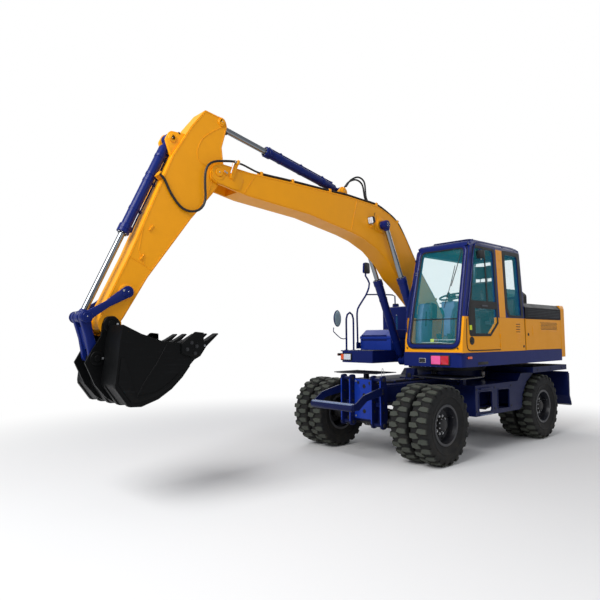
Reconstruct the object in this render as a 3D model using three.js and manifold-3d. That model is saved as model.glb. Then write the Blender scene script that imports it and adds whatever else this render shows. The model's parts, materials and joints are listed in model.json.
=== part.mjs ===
// A wheeled excavator, built from separate pieces that move on real joints. Millimetres. +Z is up, the
// machine's front faces -Y and its left side faces +X. The model is laid out around the slew axis, then
// moved so that the middle of its box is at x = y = 0.
import * as THREE from 'three';
import { mergeVertices } from 'three/addons/utils/BufferGeometryUtils.js';
import Module from 'manifold-3d';

const wasm = await Module();
wasm.setup();

// Driving dimensions
const gap = 0.3; // between pieces that rest on each other
const runGap = 6; // between a turning piece and what it passes

const tyreRadius = 527.5;
const tyreWidth = 275;
const twinSpacing = 318;
const outerTyreX = 1108;
const beadRadius = 254;
const beadHalf = 94;
const frontAxleY = -1957;
const rearAxleY = 921;
const kingpinX = 590;
const wheelSegments = 16; // a multiple of four, so that a flat and not a corner stands on the ground

const frameHalf = 330; // half width of the chassis box
const frameTop = 1010;
const frameFrontY = -2150;
const frameRearY = 1520;
const platesY = -2290; // front edge of the mounting plates
const platesTop = 1145;
const platesBottom = 405;
const stepY = -2860;
const stepZ = 760;
const boxOuterX = 1150;
const boxFrontY = -1120;
const fenderZ = 1105;
const fenderOuterX = 1205;

const ringRadius = 620;
const ringTop = 1258;

const houseHalf = 1242;
const deckBottom = 1266;
const deckTop = 1466;
const deckFrontRight = -1390;
const deckFrontLeft = -1590;
const slotRight = -523; // inner wall of the right-hand deck
const slotLeft = 264; // inner wall of the cab's side of the deck
const slotRear = 330;
const houseRear = 1670;
const tailRadius = 2250;
const hoodFront = 312;
const hoodTop = 2230;
const sillTop = 1976; // top of the yellow side panels

const cabTop = 3134;
const cabRear = 296;
const cabWall = 48;
const doorRear = -512;
const doorFront = -1405;
const doorGap = 5;

const armX = -130; // middle of the boom, stick and bucket
const boomHalf = 152;
const stickHalf = 120;
const cylinderX = 240; // boom cylinders, either side of the boom's middle
const boomFoot = { y: -70, z: 1750 };
const boomReach = 5036;
const boomRise = 21.87; // degrees above level at rest
const kneeReach = 2100;
const stickReach = 2186;
const stickDrop = 55.02; // degrees below level at rest
const bucketHalf = 490;
const bucketPlate = 26;
const leverThick = 30; // tipping levers, outside the stick
const hoseRadius = 14;

// Materials
const paint = (color, roughness = 0.45) => new THREE.MeshStandardMaterial({ color, roughness,
  metalness: 0.1 });
const materials = {
  yellow: paint(0xe09a1f, 0.4),
  navy: paint(0x1c2c66, 0.4),
  black: paint(0x14161a, 0.6),
  iron: paint(0x191b1f, 0.7),
  rubber: paint(0x1b1b1b, 0.9),
  interior: paint(0x5c6f86, 0.7),
  seat: paint(0x23262b, 0.85),
  chrome: new THREE.MeshStandardMaterial({ color: 0xd5d9dd, roughness: 0.12, metalness: 1 }),
  glass: new THREE.MeshStandardMaterial({ color: 0xbfeaf2, roughness: 0.05, metalness: 0, opacity: 0.35,
    transparent: true }),
};

// Solids
const rad = (degrees) => degrees * Math.PI / 180;
const basis = (x, y, z) => new THREE.Matrix4().makeBasis(
  new THREE.Vector3(...x), new THREE.Vector3(...y), new THREE.Vector3(...z));

function solid(geometry) {
  const bare = geometry.clone();
  bare.deleteAttribute('normal');
  bare.deleteAttribute('uv');
  const merged = mergeVertices(bare, 0.001);
  return new wasm.Manifold(new wasm.Mesh({
    numProp: 3,
    vertProperties: Float32Array.from(merged.attributes.position.array),
    triVerts: Uint32Array.from(merged.index.array),
  }));
}

const join = (first, ...others) => others.reduce((sum, piece) => sum.add(piece), first);
const cut = (first, ...others) => others.reduce((rest, piece) => rest.subtract(piece), first);
const bothSides = (make) => join(make(-1), make(1));

function box(x0, x1, y0, y1, z0, z1) {
  const geometry = new THREE.BoxGeometry(x1 - x0, y1 - y0, z1 - z0);
  geometry.translate((x0 + x1) / 2, (y0 + y1) / 2, (z0 + z1) / 2);
  return solid(geometry);
}

// Turns corner points [a, b, radius] into a shape whose corners are rounded where a radius is given.
function outline(points) {
  const shape = new THREE.Shape();
  const count = points.length;
  points.forEach(([a, b, radius = 0], i) => {
    const here = new THREE.Vector2(a, b);
    const before = new THREE.Vector2(...points[(i + count - 1) % count]).sub(here);
    const after = new THREE.Vector2(...points[(i + 1) % count]).sub(here);
    const half = Math.acos(before.dot(after) / before.length() / after.length()) / 2;
    const reach = radius / Math.tan(half);
    const start = before.setLength(reach || 1e-9).add(here);
    const end = after.setLength(reach || 1e-9).add(here);
    const draw = i === 0 ? 'moveTo' : 'lineTo';
    if (radius === 0) {
      shape[draw](a, b);
      return;
    }
    shape[draw](start.x, start.y);
    shape.quadraticCurveTo(a, b, end.x, end.y);
  });
  shape.closePath();
  return shape;
}

function extrude(shape, depth, curveSegments = 2) {
  return new THREE.ExtrudeGeometry(shape, { depth, bevelEnabled: false, curveSegments });
}

const shapeOf = (points) => (points instanceof THREE.Shape ? points : outline(points));

// A side outline of [y, z] points, made solid from x0 to x1.
function side(points, x0, x1, curveSegments) {
  const geometry = extrude(shapeOf(points), x1 - x0, curveSegments);
  geometry.applyMatrix4(basis([0, 1, 0], [0, 0, 1], [1, 0, 0]));
  geometry.translate(x0, 0, 0);
  return solid(geometry);
}

// A plan outline of [x, y] points, made solid from z0 to z1.
function plan(points, z0, z1, curveSegments) {
  const geometry = extrude(shapeOf(points), z1 - z0, curveSegments);
  geometry.translate(0, 0, z0);
  return solid(geometry);
}

// A front outline of [x, z] points, made solid from y0 to y1.
function front(points, y0, y1, curveSegments) {
  const geometry = extrude(shapeOf(points), y1 - y0, curveSegments);
  geometry.applyMatrix4(basis([1, 0, 0], [0, 0, 1], [0, -1, 0]));
  geometry.translate(0, y1, 0);
  return solid(geometry);
}

// A round bar between two points, turned about its length by a part of a circle.
function bar(from, to, radius, segments = 10, endRadius = radius, turn = 0) {
  const start = new THREE.Vector3(...from);
  const along = new THREE.Vector3(...to).sub(start);
  const geometry = new THREE.CylinderGeometry(endRadius, radius, along.length(), segments, 1, false, turn);
  geometry.translate(0, along.length() / 2, 0);
  geometry.applyQuaternion(new THREE.Quaternion().setFromUnitVectors(
    new THREE.Vector3(0, 1, 0), along.clone().normalize()));
  geometry.translate(...from);
  return solid(geometry);
}

// A bar across the machine, centred on x.
const crossBar = (x, y, z, half, radius, segments) => bar([x - half, y, z], [x + half, y, z], radius,
  segments);

// What is cut for a pin of the given radius, wide enough that the pin turns freely in it.
const pinBore = (x, y, z, half, radius) => {
  const wide = (radius + gap) / Math.cos(Math.PI / 12);
  return bar([x - half, y, z], [x + half, y, z], wide, 12, wide, Math.PI / 12);
};

// A shape turned about the X axis from [radius, x] points that close on themselves or start and end on
// the axis.
function turned(profile, segments = wheelSegments) {
  const geometry = new THREE.LatheGeometry(profile.map(([r, x]) => new THREE.Vector2(r, x)), segments,
    Math.PI / segments);
  geometry.applyMatrix4(basis([0, 0, 1], [1, 0, 0], [0, 1, 0]));
  return solid(geometry);
}

// A bent pipe along points joined by a smooth curve.
function pipe(points, radius, steps, sides = 6, tension = 0.3) {
  const path = new THREE.CatmullRomCurve3(points.map((p) => new THREE.Vector3(...p)), false, 'catmullrom',
    tension);
  const section = new THREE.Shape();
  for (let i = 0; i < sides; i += 1) {
    const turn = 2 * Math.PI * i / sides;
    const draw = i === 0 ? 'moveTo' : 'lineTo';
    section[draw](radius * Math.cos(turn), radius * Math.sin(turn));
  }
  section.closePath();
  return solid(new THREE.ExtrudeGeometry(section, { steps, extrudePath: path, bevelEnabled: false }));
}

// Scene graph
const machine = new THREE.Group();
machine.name = 'wheeled_excavator';

function pivot(name, parent, x, y, z, tilt = 0) {
  const group = new THREE.Group();
  group.name = name;
  group.position.set(x, y, z);
  group.rotation.x = rad(tilt);
  parent.attach(group);
  return group;
}

function add(parent, name, body, material) {
  const { vertProperties, triVerts, numProp } = body.getMesh();
  const geometry = new THREE.BufferGeometry();
  const positions = new Float32Array(vertProperties.length / numProp * 3);
  for (let i = 0; i < positions.length / 3; i += 1) {
    positions.set(vertProperties.subarray(i * numProp, i * numProp + 3), i * 3);
  }
  geometry.setAttribute('position', new THREE.BufferAttribute(positions, 3));
  geometry.setIndex(new THREE.BufferAttribute(Uint32Array.from(triVerts), 1));
  geometry.computeVertexNormals();
  const mesh = new THREE.Mesh(geometry, material);
  mesh.name = name;
  parent.add(mesh);
  return mesh;
}

// Adds a piece that is drawn in the machine's frame to a group that is placed elsewhere.
function addPlaced(parent, name, body, material) {
  const mesh = add(machine, name, body, material);
  machine.updateMatrixWorld(true);
  parent.attach(mesh);
  return mesh;
}

// Wheels, axles and steering
const axleZ = tyreRadius;
const twinMiddle = outerTyreX - twinSpacing / 2;

// Widens a profile so that the middles of its flats, not their corners, lie at the stated radii.
const outFlat = (profile) => profile.map(([r, x]) => [r / Math.cos(Math.PI / wheelSegments), x]);

function tyre() {
  const half = tyreWidth / 2;
  const bore = beadRadius + gap;
  return turned(outFlat([
    [bore, -beadHalf], [bore + 24, -beadHalf], [tyreRadius - 150, -half], [tyreRadius - 62, -half],
    [tyreRadius, -half + 38],
    [tyreRadius, half - 38], [tyreRadius - 62, half], [tyreRadius - 150, half], [bore + 24, beadHalf],
    [bore, beadHalf], [bore, -beadHalf],
  ]));
}

// Both rims of a twin wheel, with the disc and the hub that carry them. The outer tyre's middle is at x
// = 0.
function twinWheel() {
  const lip = beadHalf + gap;
  const flange = beadRadius + 20;
  const barrel = beadRadius - 12;
  const inner = -twinSpacing;
  const drum = 168;
  const hubBore = 92;
  const profile = [
    [hubBore, inner + 60], [drum, inner + 60], [drum, -46], [barrel, -46], [barrel, inner - lip - 8],
    [flange, inner - lip - 8], [flange, inner - lip], [beadRadius, inner - lip], [beadRadius, lip],
    [flange, lip],
    [flange, lip + 8], [barrel, lip + 8], [barrel, -28], [drum, -28], [drum, 40], [112, 78], [0, 78],
    [0, 20],
    [hubBore, 20], [hubBore, inner + 60],
  ];
  return turned(outFlat(profile));
}

function wheelPair(parent, name, mirror, y) {
  const group = pivot(`${name}_wheel_pivot`, parent, mirror * outerTyreX, y, axleZ);
  const flip = basis([mirror, 0, 0], [0, 1, 0], [0, 0, 1]);
  const place = (body, shift) => {
    const moved = body.translate([shift, 0, 0]);
    return mirror < 0 ? moved.transform(flip.elements.slice()) : moved;
  };
  add(group, `${name}_outer_tyre`, place(tyre(), 0), materials.rubber);
  add(group, `${name}_inner_tyre`, place(tyre(), -twinSpacing), materials.rubber);
  add(group, `${name}_twin_wheel`, place(twinWheel(), 0), materials.iron);
}

const kingpinTop = 118;
const forkThick = 34;
const spindleEnd = outerTyreX - 8;
const hubInner = outerTyreX - twinSpacing + 60;

// The driven steering axle: a middle housing, two tubes and a fork at each end.
function frontAxle() {
  const housing = bar([-150, frontAxleY, axleZ], [150, frontAxleY, axleZ], 152, 14);
  const saddle = side([[frontAxleY - 110, axleZ], [frontAxleY + 110, axleZ],
    [frontAxleY + 90, 760 - gap], [frontAxleY - 90, 760 - gap]], -130, 130);
  const nose = bar([0, frontAxleY + 100, axleZ], [0, frontAxleY + 330, axleZ], 66, 10);
  const rodBarrel = cut(
    join(bar([-190, tieY, tieZ], [190, tieY, tieZ], 48, 12),
      box(-120, 120, frontAxleY + 60, tieY - 30, tieZ - 20, tieZ + 80)),
    pinBore(0, tieY, tieZ, 200, tieRadius));
  let axle = join(housing, saddle, nose, bar([-470, frontAxleY, axleZ], [470, frontAxleY, axleZ], 82, 12),
    rodBarrel);
  for (const s of [-1, 1]) {
    const fork = cut(
      side([[frontAxleY - 95, axleZ - kingpinTop - forkThick, 20],
        [frontAxleY + 95, axleZ - kingpinTop - forkThick, 20],
        [frontAxleY + 95, axleZ + kingpinTop + forkThick, 20],
        [frontAxleY - 95, axleZ + kingpinTop + forkThick, 20]],
      Math.min(s * 440, s * kingpinX), Math.max(s * 440, s * kingpinX)),
      box(Math.min(s * 492, s * 700), Math.max(s * 492, s * 700), frontAxleY - 200, frontAxleY + 200,
        axleZ - kingpinTop, axleZ + kingpinTop));
    const ends = [-1, 1].map((up) => bar([s * kingpinX, frontAxleY, axleZ + up * kingpinTop],
      [s * kingpinX, frontAxleY, axleZ + up * (kingpinTop + forkThick)], 95, 12));
    axle = join(axle, fork, ...ends);
  }
  return axle;
}

const tieArm = 225; // from a kingpin back to the steering rod
const tieY = frontAxleY + tieArm;
const tieZ = axleZ - 150;
const tieRadius = 24;
const armBottom = axleZ - 100;

// A steering knuckle: the kingpin boss between the fork's ends, the spindle that carries the hub and
// the arm that the steering rod moves.
function knuckle(s) {
  const boss = bar([s * kingpinX, frontAxleY, axleZ - kingpinTop + 4],
    [s * kingpinX, frontAxleY, axleZ + kingpinTop - 4],
    74, 12);
  const spindle = join(
    bar([s * (kingpinX + 20), frontAxleY, axleZ], [s * (hubInner - 30), frontAxleY, axleZ], 110, 12, 100),
    bar([s * (hubInner - 40), frontAxleY, axleZ], [s * spindleEnd, frontAxleY, axleZ], 80, 12));
  const armX0 = s * kingpinX;
  const arm = plan([[armX0 - 30, frontAxleY], [armX0 + 30, frontAxleY], [armX0 + 26, tieY + 26, 14],
    [armX0 - 26, tieY + 26, 14]], armBottom, armBottom + 30);
  return join(boss, spindle, arm);
}

// The rod that joins both knuckles and slides in its barrel on the axle. Its eyes lie under the
// knuckles' arms.
function steeringRod() {
  const rod = bar([-kingpinX + 40, tieY, tieZ], [kingpinX - 40, tieY, tieZ], tieRadius, 12);
  const eyes = [-1, 1].map((s) => bar([s * kingpinX, tieY, tieZ - 28],
    [s * kingpinX, tieY, armBottom - gap], 38, 12));
  const links = [-1, 1].map((s) => box(Math.min(s * kingpinX, s * (kingpinX - 80)),
    Math.max(s * kingpinX, s * (kingpinX - 80)), tieY - 18, tieY + 18, tieZ - 18, tieZ + 18));
  return join(rod, ...eyes, ...links);
}

// The rigid rear axle with the gearbox that drives it.
function rearAxle() {
  const housing = bar([-160, rearAxleY, axleZ], [160, rearAxleY, axleZ], 158, 14);
  const tubes = bar([-hubInner + 12, rearAxleY, axleZ], [hubInner - 12, rearAxleY, axleZ], 92, 12);
  const spindles = bar([-spindleEnd, rearAxleY, axleZ], [spindleEnd, rearAxleY, axleZ], 80, 12);
  const saddles = [-1, 1].map((s) => box(s * 240 - 70, s * 240 + 70, rearAxleY - 80, rearAxleY + 80,
    axleZ, 760 - gap));
  const gearbox = join(box(-170, 170, rearAxleY - 420, rearAxleY - 100, axleZ - 120, axleZ + 130),
    bar([0, rearAxleY - 470, axleZ - 40], [0, rearAxleY - 410, axleZ - 40], 62, 12));
  return join(housing, tubes, spindles, ...saddles, gearbox, driveShaft());
}

// The shaft from the gearbox forward to the front axle.
function driveShaft() {
  const rear = rearAxleY - 460;
  const frontEnd = frontAxleY + 330 + gap + 4;
  const rearZ = axleZ - 40;
  return join(
    bar([0, frontEnd, axleZ], [0, rear, rearZ], 42, 12),
    bar([0, frontEnd, axleZ], [0, frontEnd + 60, axleZ], 66, 12),
    bar([0, rear - 60, rearZ], [0, rear, rearZ], 66, 12));
}

// Chassis
function chassisFrame() {
  const beam = side([
    [frameFrontY, 470], [frameFrontY + 38, 470], [frameFrontY + 38, 760], [frontAxleY + 330, 760],
    [frontAxleY + 430, 640], [rearAxleY - 500, 640], [rearAxleY - 440, 760], [rearAxleY + 300, 760],
    [rearAxleY + 360, 600], [frameRearY, 600], [frameRearY, frameTop], [frameFrontY, frameTop],
  ], -frameHalf, frameHalf);
  const tower = bar([0, 0, 900], [0, 0, ringTop - 118 - gap], 552, 24);
  const belly = cut(box(-560, 560, -640, 520, 640, frameTop), box(-300, 300, -700, 600, 600, 660));
  const lockBracket = side([[-980, frameTop - 20], [-820, frameTop - 20], [-860, 1180], [-930, 1180]],
    -190, -30);
  const bladeLugs = bothSides((s) => side([[bladePin.y - 62, 790], [bladePin.y - 62, bladePin.z - 62, 30],
    [bladePin.y + 62, bladePin.z - 62, 30], [bladePin.y + 62, 790]], s * 225 - 20, s * 225 + 20));
  const bore = pinBore(0, bladePin.y, bladePin.z, 300, 34);
  const slot = box(-bladeSlot, bladeSlot, bladeTop.y - 90, frameRearY + 10, 500, frameTop + 10);
  const topBore = pinBore(0, bladeTop.y, bladeTop.z, 100, bladeCylinder.pinRadius);
  return cut(join(beam, tower, belly, lockBracket, bladeLugs), slot, bore, topBore);
}

// The four upright plates on the front of the chassis, with the pins that join each pair and the step
// bar that stands out in front of them on two curved arms.
function frontMount() {
  const plateX = [-372, -205, 205, 372];
  const backY = frameFrontY - gap;
  const plates = plateX.map((x) => side([[platesY, platesBottom, 40], [platesY + 120, platesBottom, 40],
    [platesY + 120, 520], [backY, 520], [backY, 1000], [platesY + 120, 1040],
    [platesY + 120, platesTop, 40],
    [platesY, platesTop, 40]], x - 13, x + 13));
  const centre = box(-205, 205, platesY + 92, platesY + 112, 500, 1090);
  const pins = [];
  for (const s of [-1, 1]) {
    for (const z of [platesTop - 55, platesBottom + 52]) {
      pins.push(bar([s * 200, platesY + 55, z], [s * 385, platesY + 55, z], 27, 8));
    }
  }
  const armPlate = (x) => side([
    [stepY - 30, stepZ - 42, 30], [stepY + 90, stepZ - 42, 30], [stepY + 260, stepZ + 70, 60],
    [platesY + 40, stepZ + 120, 0], [platesY + 40, stepZ + 225, 0], [platesY - 40, stepZ + 225, 40],
    [stepY + 190, stepZ + 150, 60], [stepY + 30, stepZ + 50, 40], [stepY - 30, stepZ + 44, 30],
  ], x - 9, x + 9, 3);
  const armX0 = 372 + 13 + 9;
  return join(centre, ...plates, ...pins, box(-372, 372, platesY + 92, backY, 700, 760),
    bar([-armX0, stepY, stepZ], [armX0, stepY, stepZ], 44, 10), armPlate(-armX0), armPlate(armX0));
}

// A box between the axles, with two windows in its outer wall, its arched end by the rear wheel and the
// flat guards over the wheels.
function sideBox(s) {
  const rear = rearAxleY - 640;
  const shape = side([
    [boxFrontY, 545], [rear - 90, 535], [rear, 560], [rear + 40, 780], [rear + 190, 960],
    [rear + 440, fenderZ - 20],
    [rear + 440, fenderZ - 4], [rear, fenderZ - 4], [rear - 120, 985], [boxFrontY, 985],
  ], 560 + gap, boxOuterX);
  const inside = side([
    [boxFrontY + 22, 570], [rear - 96, 560], [rear - 26, 590], [rear + 10, 780], [rear + 100, 905],
    [rear - 60, 955], [boxFrontY + 22, 955],
  ], 590, boxOuterX - 22);
  const windows = [[-1030, -650], [-480, -120]].map(([y0, y1]) => side([[y0, 600, 40], [y1, 590, 40],
    [y1, 890, 40], [y0, 900, 40]], boxOuterX - 40, boxOuterX + 20));
  const floorOpening = box(620, boxOuterX - 60, boxFrontY + 80, rear - 140, 500, 600);
  const guard = plan([[frameHalf + gap, -1020], [frameHalf + gap, -1500], [1000, -1640],
    [fenderOuterX, -1560, 60],
    [fenderOuterX, -1020]], fenderZ, fenderZ + 12);
  const guardRib = box(900, 960, -1120, -1040, 900, fenderZ + 2);
  const rearGuard = cut(
    box(frameHalf + 60, houseHalf - 6, rear + 250, rearAxleY + 930, fenderZ - 6, fenderZ + 84),
    box(frameHalf + 90, houseHalf - 26, rear + 270, rearAxleY + 910, fenderZ - 20, fenderZ + 70));
  const wallEnd = box(560 + gap, 590, rear - 60, rear + 420, 900, fenderZ + 2);
  const body = join(cut(shape, inside, ...windows, floorOpening), guard, guardRib, rearGuard, wallEnd);
  return s < 0 ? body.transform(basis([-1, 0, 0], [0, 1, 0], [0, 0, 1]).elements.slice()) : body;
}

function slewRing() {
  const lower = bar([0, 0, ringTop - 118], [0, 0, ringTop - 60], ringRadius, 28);
  const upper = bar([0, 0, ringTop - 60], [0, 0, ringTop], ringRadius - 40, 28);
  return cut(join(lower, upper), bar([0, 0, ringTop - 200], [0, 0, ringTop + 50], ringRadius - 130, 20));
}

// Dozer blade
const bladePin = { y: 1230, z: 530 };
const bladeTop = { y: 1380, z: 950 };
const bladeEye = { y: 1815, z: 790 };
const bladeSlot = 66; // half width of the slot in the chassis that the blade's cylinder swings in

// The blade, hung on two arms that reach forward between the rear wheels.
function dozerBlade() {
  const blade = side([
    [1880, 1040], [1862, 900], [1880, 640, 80], [1975, 458], [1998, 470], [1915, 650, 80], [1888, 900],
    [1902, 1040],
  ], -1246, 1246);
  const ribs = bothSides((s) => side([[1820, 540], [1900, 540], [1885, 900], [1830, 860]], s * 225 - 14,
    s * 225 + 14));
  const arms = bothSides((s) => side([
    [bladePin.y - 52, bladePin.z - 42, 40], [1870, 500], [1872, 760], [frameRearY + 40, 585],
    [bladePin.y - 52, bladePin.z + 52, 40],
  ], s * 172 - 26, s * 172 + 26));
  const pins = bothSides((s) => bar([s * 150, bladePin.y, bladePin.z], [s * 252, bladePin.y, bladePin.z],
    34, 12));
  const eyeLugs = bothSides((s) => side([[bladeEye.y - 40, bladeEye.z - 40], [1885, 700], [1885, 900],
    [bladeEye.y - 40, bladeEye.z + 40]], s * bladeSlot - 12, s * bladeSlot + 12));
  const crossTie = box(-200, 200, 1830, 1866, 600, 660);
  return join(blade, ribs, arms, pins, eyeLugs, crossTie);
}

// Upper structure
const rearArc = (half, from) => {
  const points = [];
  const steps = 8;
  for (let i = 0; i <= steps; i += 1) {
    const x = half - 2 * half * i / steps;
    points.push([x, Math.sqrt(tailRadius ** 2 - x ** 2)]);
  }
  return [[-houseHalf, from], [houseHalf, from], [houseHalf, from + 150], ...points,
    [-houseHalf, from + 150]];
};

function upperFrame() {
  const deck = plan([
    [-houseHalf, deckFrontRight, 90], [slotRight, deckFrontRight], [slotRight, slotRear],
    [slotLeft, slotRear],
    [slotLeft, deckFrontLeft], [houseHalf, deckFrontLeft, 110], [houseHalf, houseRear - gap],
    [-houseHalf, houseRear - gap],
  ], deckBottom, deckTop);
  const floor = box(slotRight - 10, slotLeft + 10, -640, slotRear + 10, deckBottom, deckBottom + 40);
  const outer = boomHalf + 8 + 38;
  const cheeks = [-1, 1].map((s) => side([
    [footPin.y - 62, footPin.z - 55, 50], [footPin.y + 90, deckBottom - 20, 0], [-650, deckBottom, 0],
    [slotRear + 40, deckBottom, 0], [slotRear + 40, deckTop - 20, 0], [hoodFront - 40, deckTop - 20, 0],
    [hoodFront - 40, 1640, 60], [boomFoot.y + 140, boomFoot.z + 120, 90],
    [boomFoot.y - 90, boomFoot.z + 140, 90], [footPin.y + 90, footPin.z + 120, 40],
    [footPin.y - 62, footPin.z + 55, 50],
  ], Math.min(armX + s * (boomHalf + 8), armX + s * outer),
    Math.max(armX + s * (boomHalf + 8), armX + s * outer)));
  const pinBores = [
    pinBore(armX, footPin.y, footPin.z, 400, boomCylinder.pinRadius),
    pinBore(armX, boomFoot.y, boomFoot.z, 400, footPinRadius),
  ];
  return cut(join(deck, floor, ...cheeks), ...pinBores);
}

function counterweight() {
  const block = plan(rearArc(1080, houseRear), deckBottom + 60, hoodTop + 6, 6);
  const foot = front([[-houseHalf - 10, 1200], [houseHalf + 10, 1200], [houseHalf + 10, hoodTop - 90],
    [houseHalf - 30, hoodTop + 20], [-houseHalf + 30, hoodTop + 20], [-houseHalf - 10, hoodTop - 90]],
  houseRear - 10, tailRadius + 50);
  const crown = side([[houseRear - 10, 1200], [tailRadius - 110, 1200], [tailRadius + 20, 1420],
    [tailRadius + 20, hoodTop - 110], [tailRadius - 90, hoodTop + 20], [houseRear - 10, hoodTop + 20]],
  -houseHalf - 10, houseHalf + 10);
  return block.intersect(foot).intersect(crown);
}

const engineBox = [-560, 560, 700, 1480];

function engineHood() {
  const wall = 22;
  const x1 = houseHalf;
  const shell = front([[-x1, deckTop + gap], [x1, deckTop + gap], [x1, hoodTop - 70, 0], [x1 - 60, hoodTop],
    [-x1 + 60, hoodTop], [-x1, hoodTop - 70, 0]], hoodFront, houseRear - gap);
  const hollow = front([[-x1 + wall, deckTop - 40], [x1 - wall, deckTop - 40], [x1 - wall, hoodTop - 80],
    [x1 - 72, hoodTop - wall], [-x1 + 72, hoodTop - wall], [-x1 + wall, hoodTop - 80]],
  hoodFront + wall, houseRear - wall - gap);
  const doors = [-1, 1].map((s) => box(Math.min(s * (x1 - 60), s * (x1 + 20)),
    Math.max(s * (x1 - 60), s * (x1 + 20)),
    hoodFront + 10, houseRear - 16, deckTop - 10, sillTop));
  const hatch = box(bonnetLeft + 60, bonnetRight - 60, bonnetFront + 60, bonnetRear - 60, hoodTop - 60,
    hoodTop + 20);
  return cut(shell, hollow, ...doors, hatch);
}

const bonnetLeft = -160;
const bonnetRight = 760;
const bonnetFront = 700;
const bonnetRear = 1420;
const bonnetTop = 2530;

// The raised lid over the engine, hollow from below.
function engineBonnet() {
  const base = hoodTop + gap;
  const lid = front([[bonnetLeft, base], [bonnetRight, base], [bonnetRight, bonnetTop - 90, 60],
    [bonnetRight - 100, bonnetTop, 60], [bonnetLeft + 100, bonnetTop, 60],
    [bonnetLeft, bonnetTop - 90, 60]],
  bonnetFront, bonnetRear);
  return cut(lid, box(bonnetLeft + 25, bonnetRight - 25, bonnetFront + 25, bonnetRear - 25, base - 20,
    bonnetTop - 110));
}

// A hinged side panel of the engine bay, with the tongue of its lock at the front edge.
function sideDoor(s) {
  const outer = s * houseHalf;
  const inner = s * (houseHalf - 24);
  const front = hoodFront + 10;
  const panel = box(Math.min(outer, inner), Math.max(outer, inner), front + doorGap,
    houseRear - 16 - doorGap,
    deckTop + doorGap, sillTop - doorGap);
  const tongue = box(Math.min(outer - s * 16, outer - s * 6), Math.max(outer - s * 16, outer - s * 6),
    front + gap,
    front + 20, 1700, 1740);
  return join(panel, tongue);
}

const tankFront = -265;
const toolFront = -897;

function fuelTank() {
  const body = side([[tankFront, deckTop + gap], [hoodFront - gap, deckTop + gap],
    [hoodFront - gap, 2250, 30],
    [tankFront, 2250, 40]], -1215, slotRight - 10);
  const cap = bar([-1050, -80, 2240], [-1050, -80, 2300], 60, 14);
  return join(body, cap);
}

function toolBox() {
  const lidBase = 1660;
  return side([[toolFront, deckTop + gap], [tankFront - gap, deckTop + gap], [tankFront - gap, lidBase],
    [toolFront, lidBase]], -1222, slotRight - 8);
}

function toolBoxLid() {
  return side([[toolFront - 8, 1660 + gap], [tankFront - 12, 1660 + gap], [tankFront - 12, 1822, 20],
    [toolFront + 165, 1822, 60], [toolFront - 8, 1700, 20]], -1228, slotRight - 6);
}

// The looped grab rail on the right-hand deck, with the arm and mirror on it.
function frontRail() {
  const x = -1196;
  const loop = pipe([[x, -1285, deckTop + gap], [x, -1285, 1700], [x, -1283, 2020], [x, -1240, 2112],
    [x, -1193, 2128],
    [x, -1146, 2112], [x, -1104, 2020], [x, -1102, 1700], [x, -1102, deckTop + gap]], 17, 18);
  const arm = pipe([[x, -1280, 1675], [x - 10, -1400, 1668], [x - 14, -1600, 1800], [x - 6, -1570, 1900],
    [x + 4, -1540, 1990]], 9, 8, 5);
  const mirror = bar([x, -1535, 2014], [x + 45, -1550, 2014], 140, 14);
  return join(loop, arm, mirror);
}

// The tall rail beside the tool box, which carries the upper mirror and runs back to the tank.
function tallRail() {
  const x = -1236;
  const upright = pipe([[x, -948, 1520], [x, -952, 1800], [x, -952, 2170], [x, -810, 2350], [x, -693, 2480],
    [x, -605, 2650], [x, -640, 2740], [x, -713, 2808], [x, -708, 2900]], 17, 18);
  const crossTube = pipe([[x, -700, 2470], [x, -300, 2492], [x, 100, 2500], [x, 140, 2460],
    [x, 140, 2200]], 14, 12);
  const foot = box(x - 10, -1222 - gap, -980, -890, 1490, 1600);
  const tankFoot = box(x + 4, -1215 - gap, 100, 180, 2190, 2240);
  const mirror = side([[-775, 2860, 30], [-600, 2860, 30], [-610, 3060, 40], [-760, 3060, 40]], x - 20,
    x + 14);
  return join(upright, crossTube, foot, tankFoot, mirror);
}

// Cab
const cabInner = slotLeft + 6;
const cabSide = houseHalf - 4;
const cabFloor = deckTop + 60;

// The cab's side outline, moved in by an amount on every edge.
function cabSideOutline(inset) {
  return [
    [-1574 + inset * 1.05, deckTop + gap + inset], [cabRear - inset, deckTop + gap + inset],
    [cabRear + 8 - inset, 2100], [cabRear - 30 - inset, cabTop - 40 - inset, 40],
    [cabRear - 90, cabTop - inset, 30],
    [-960, cabTop - inset + 6, 60], [-1235 + inset, cabTop - 128 - inset * 0.4, 90],
    [-1455 + inset * 1.02, 2150, 200],
    [-1560 + inset * 1.05, 1640, 80],
  ];
}

// The cab's front outline, moved in by an amount on every edge.
function cabFrontOutline(inset) {
  return [
    [cabInner + inset, deckTop + gap + inset], [cabSide - inset, deckTop + gap + inset],
    [cabSide - 6 - inset, 2000],
    [cabSide - 46 - inset, cabTop - 60, 110 - inset], [cabSide - 150, cabTop - inset + 4, 60],
    [cabInner + 150, cabTop - inset + 4, 60], [cabInner + 14 + inset, cabTop - 60, 110 - inset],
    [cabInner + inset, 2300],
  ];
}

function cabBlock(inset) {
  return side(cabSideOutline(inset), cabInner - 50, cabSide + 50, 3)
    .intersect(front(cabFrontOutline(inset), -1700, 500, 3));
}

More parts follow.
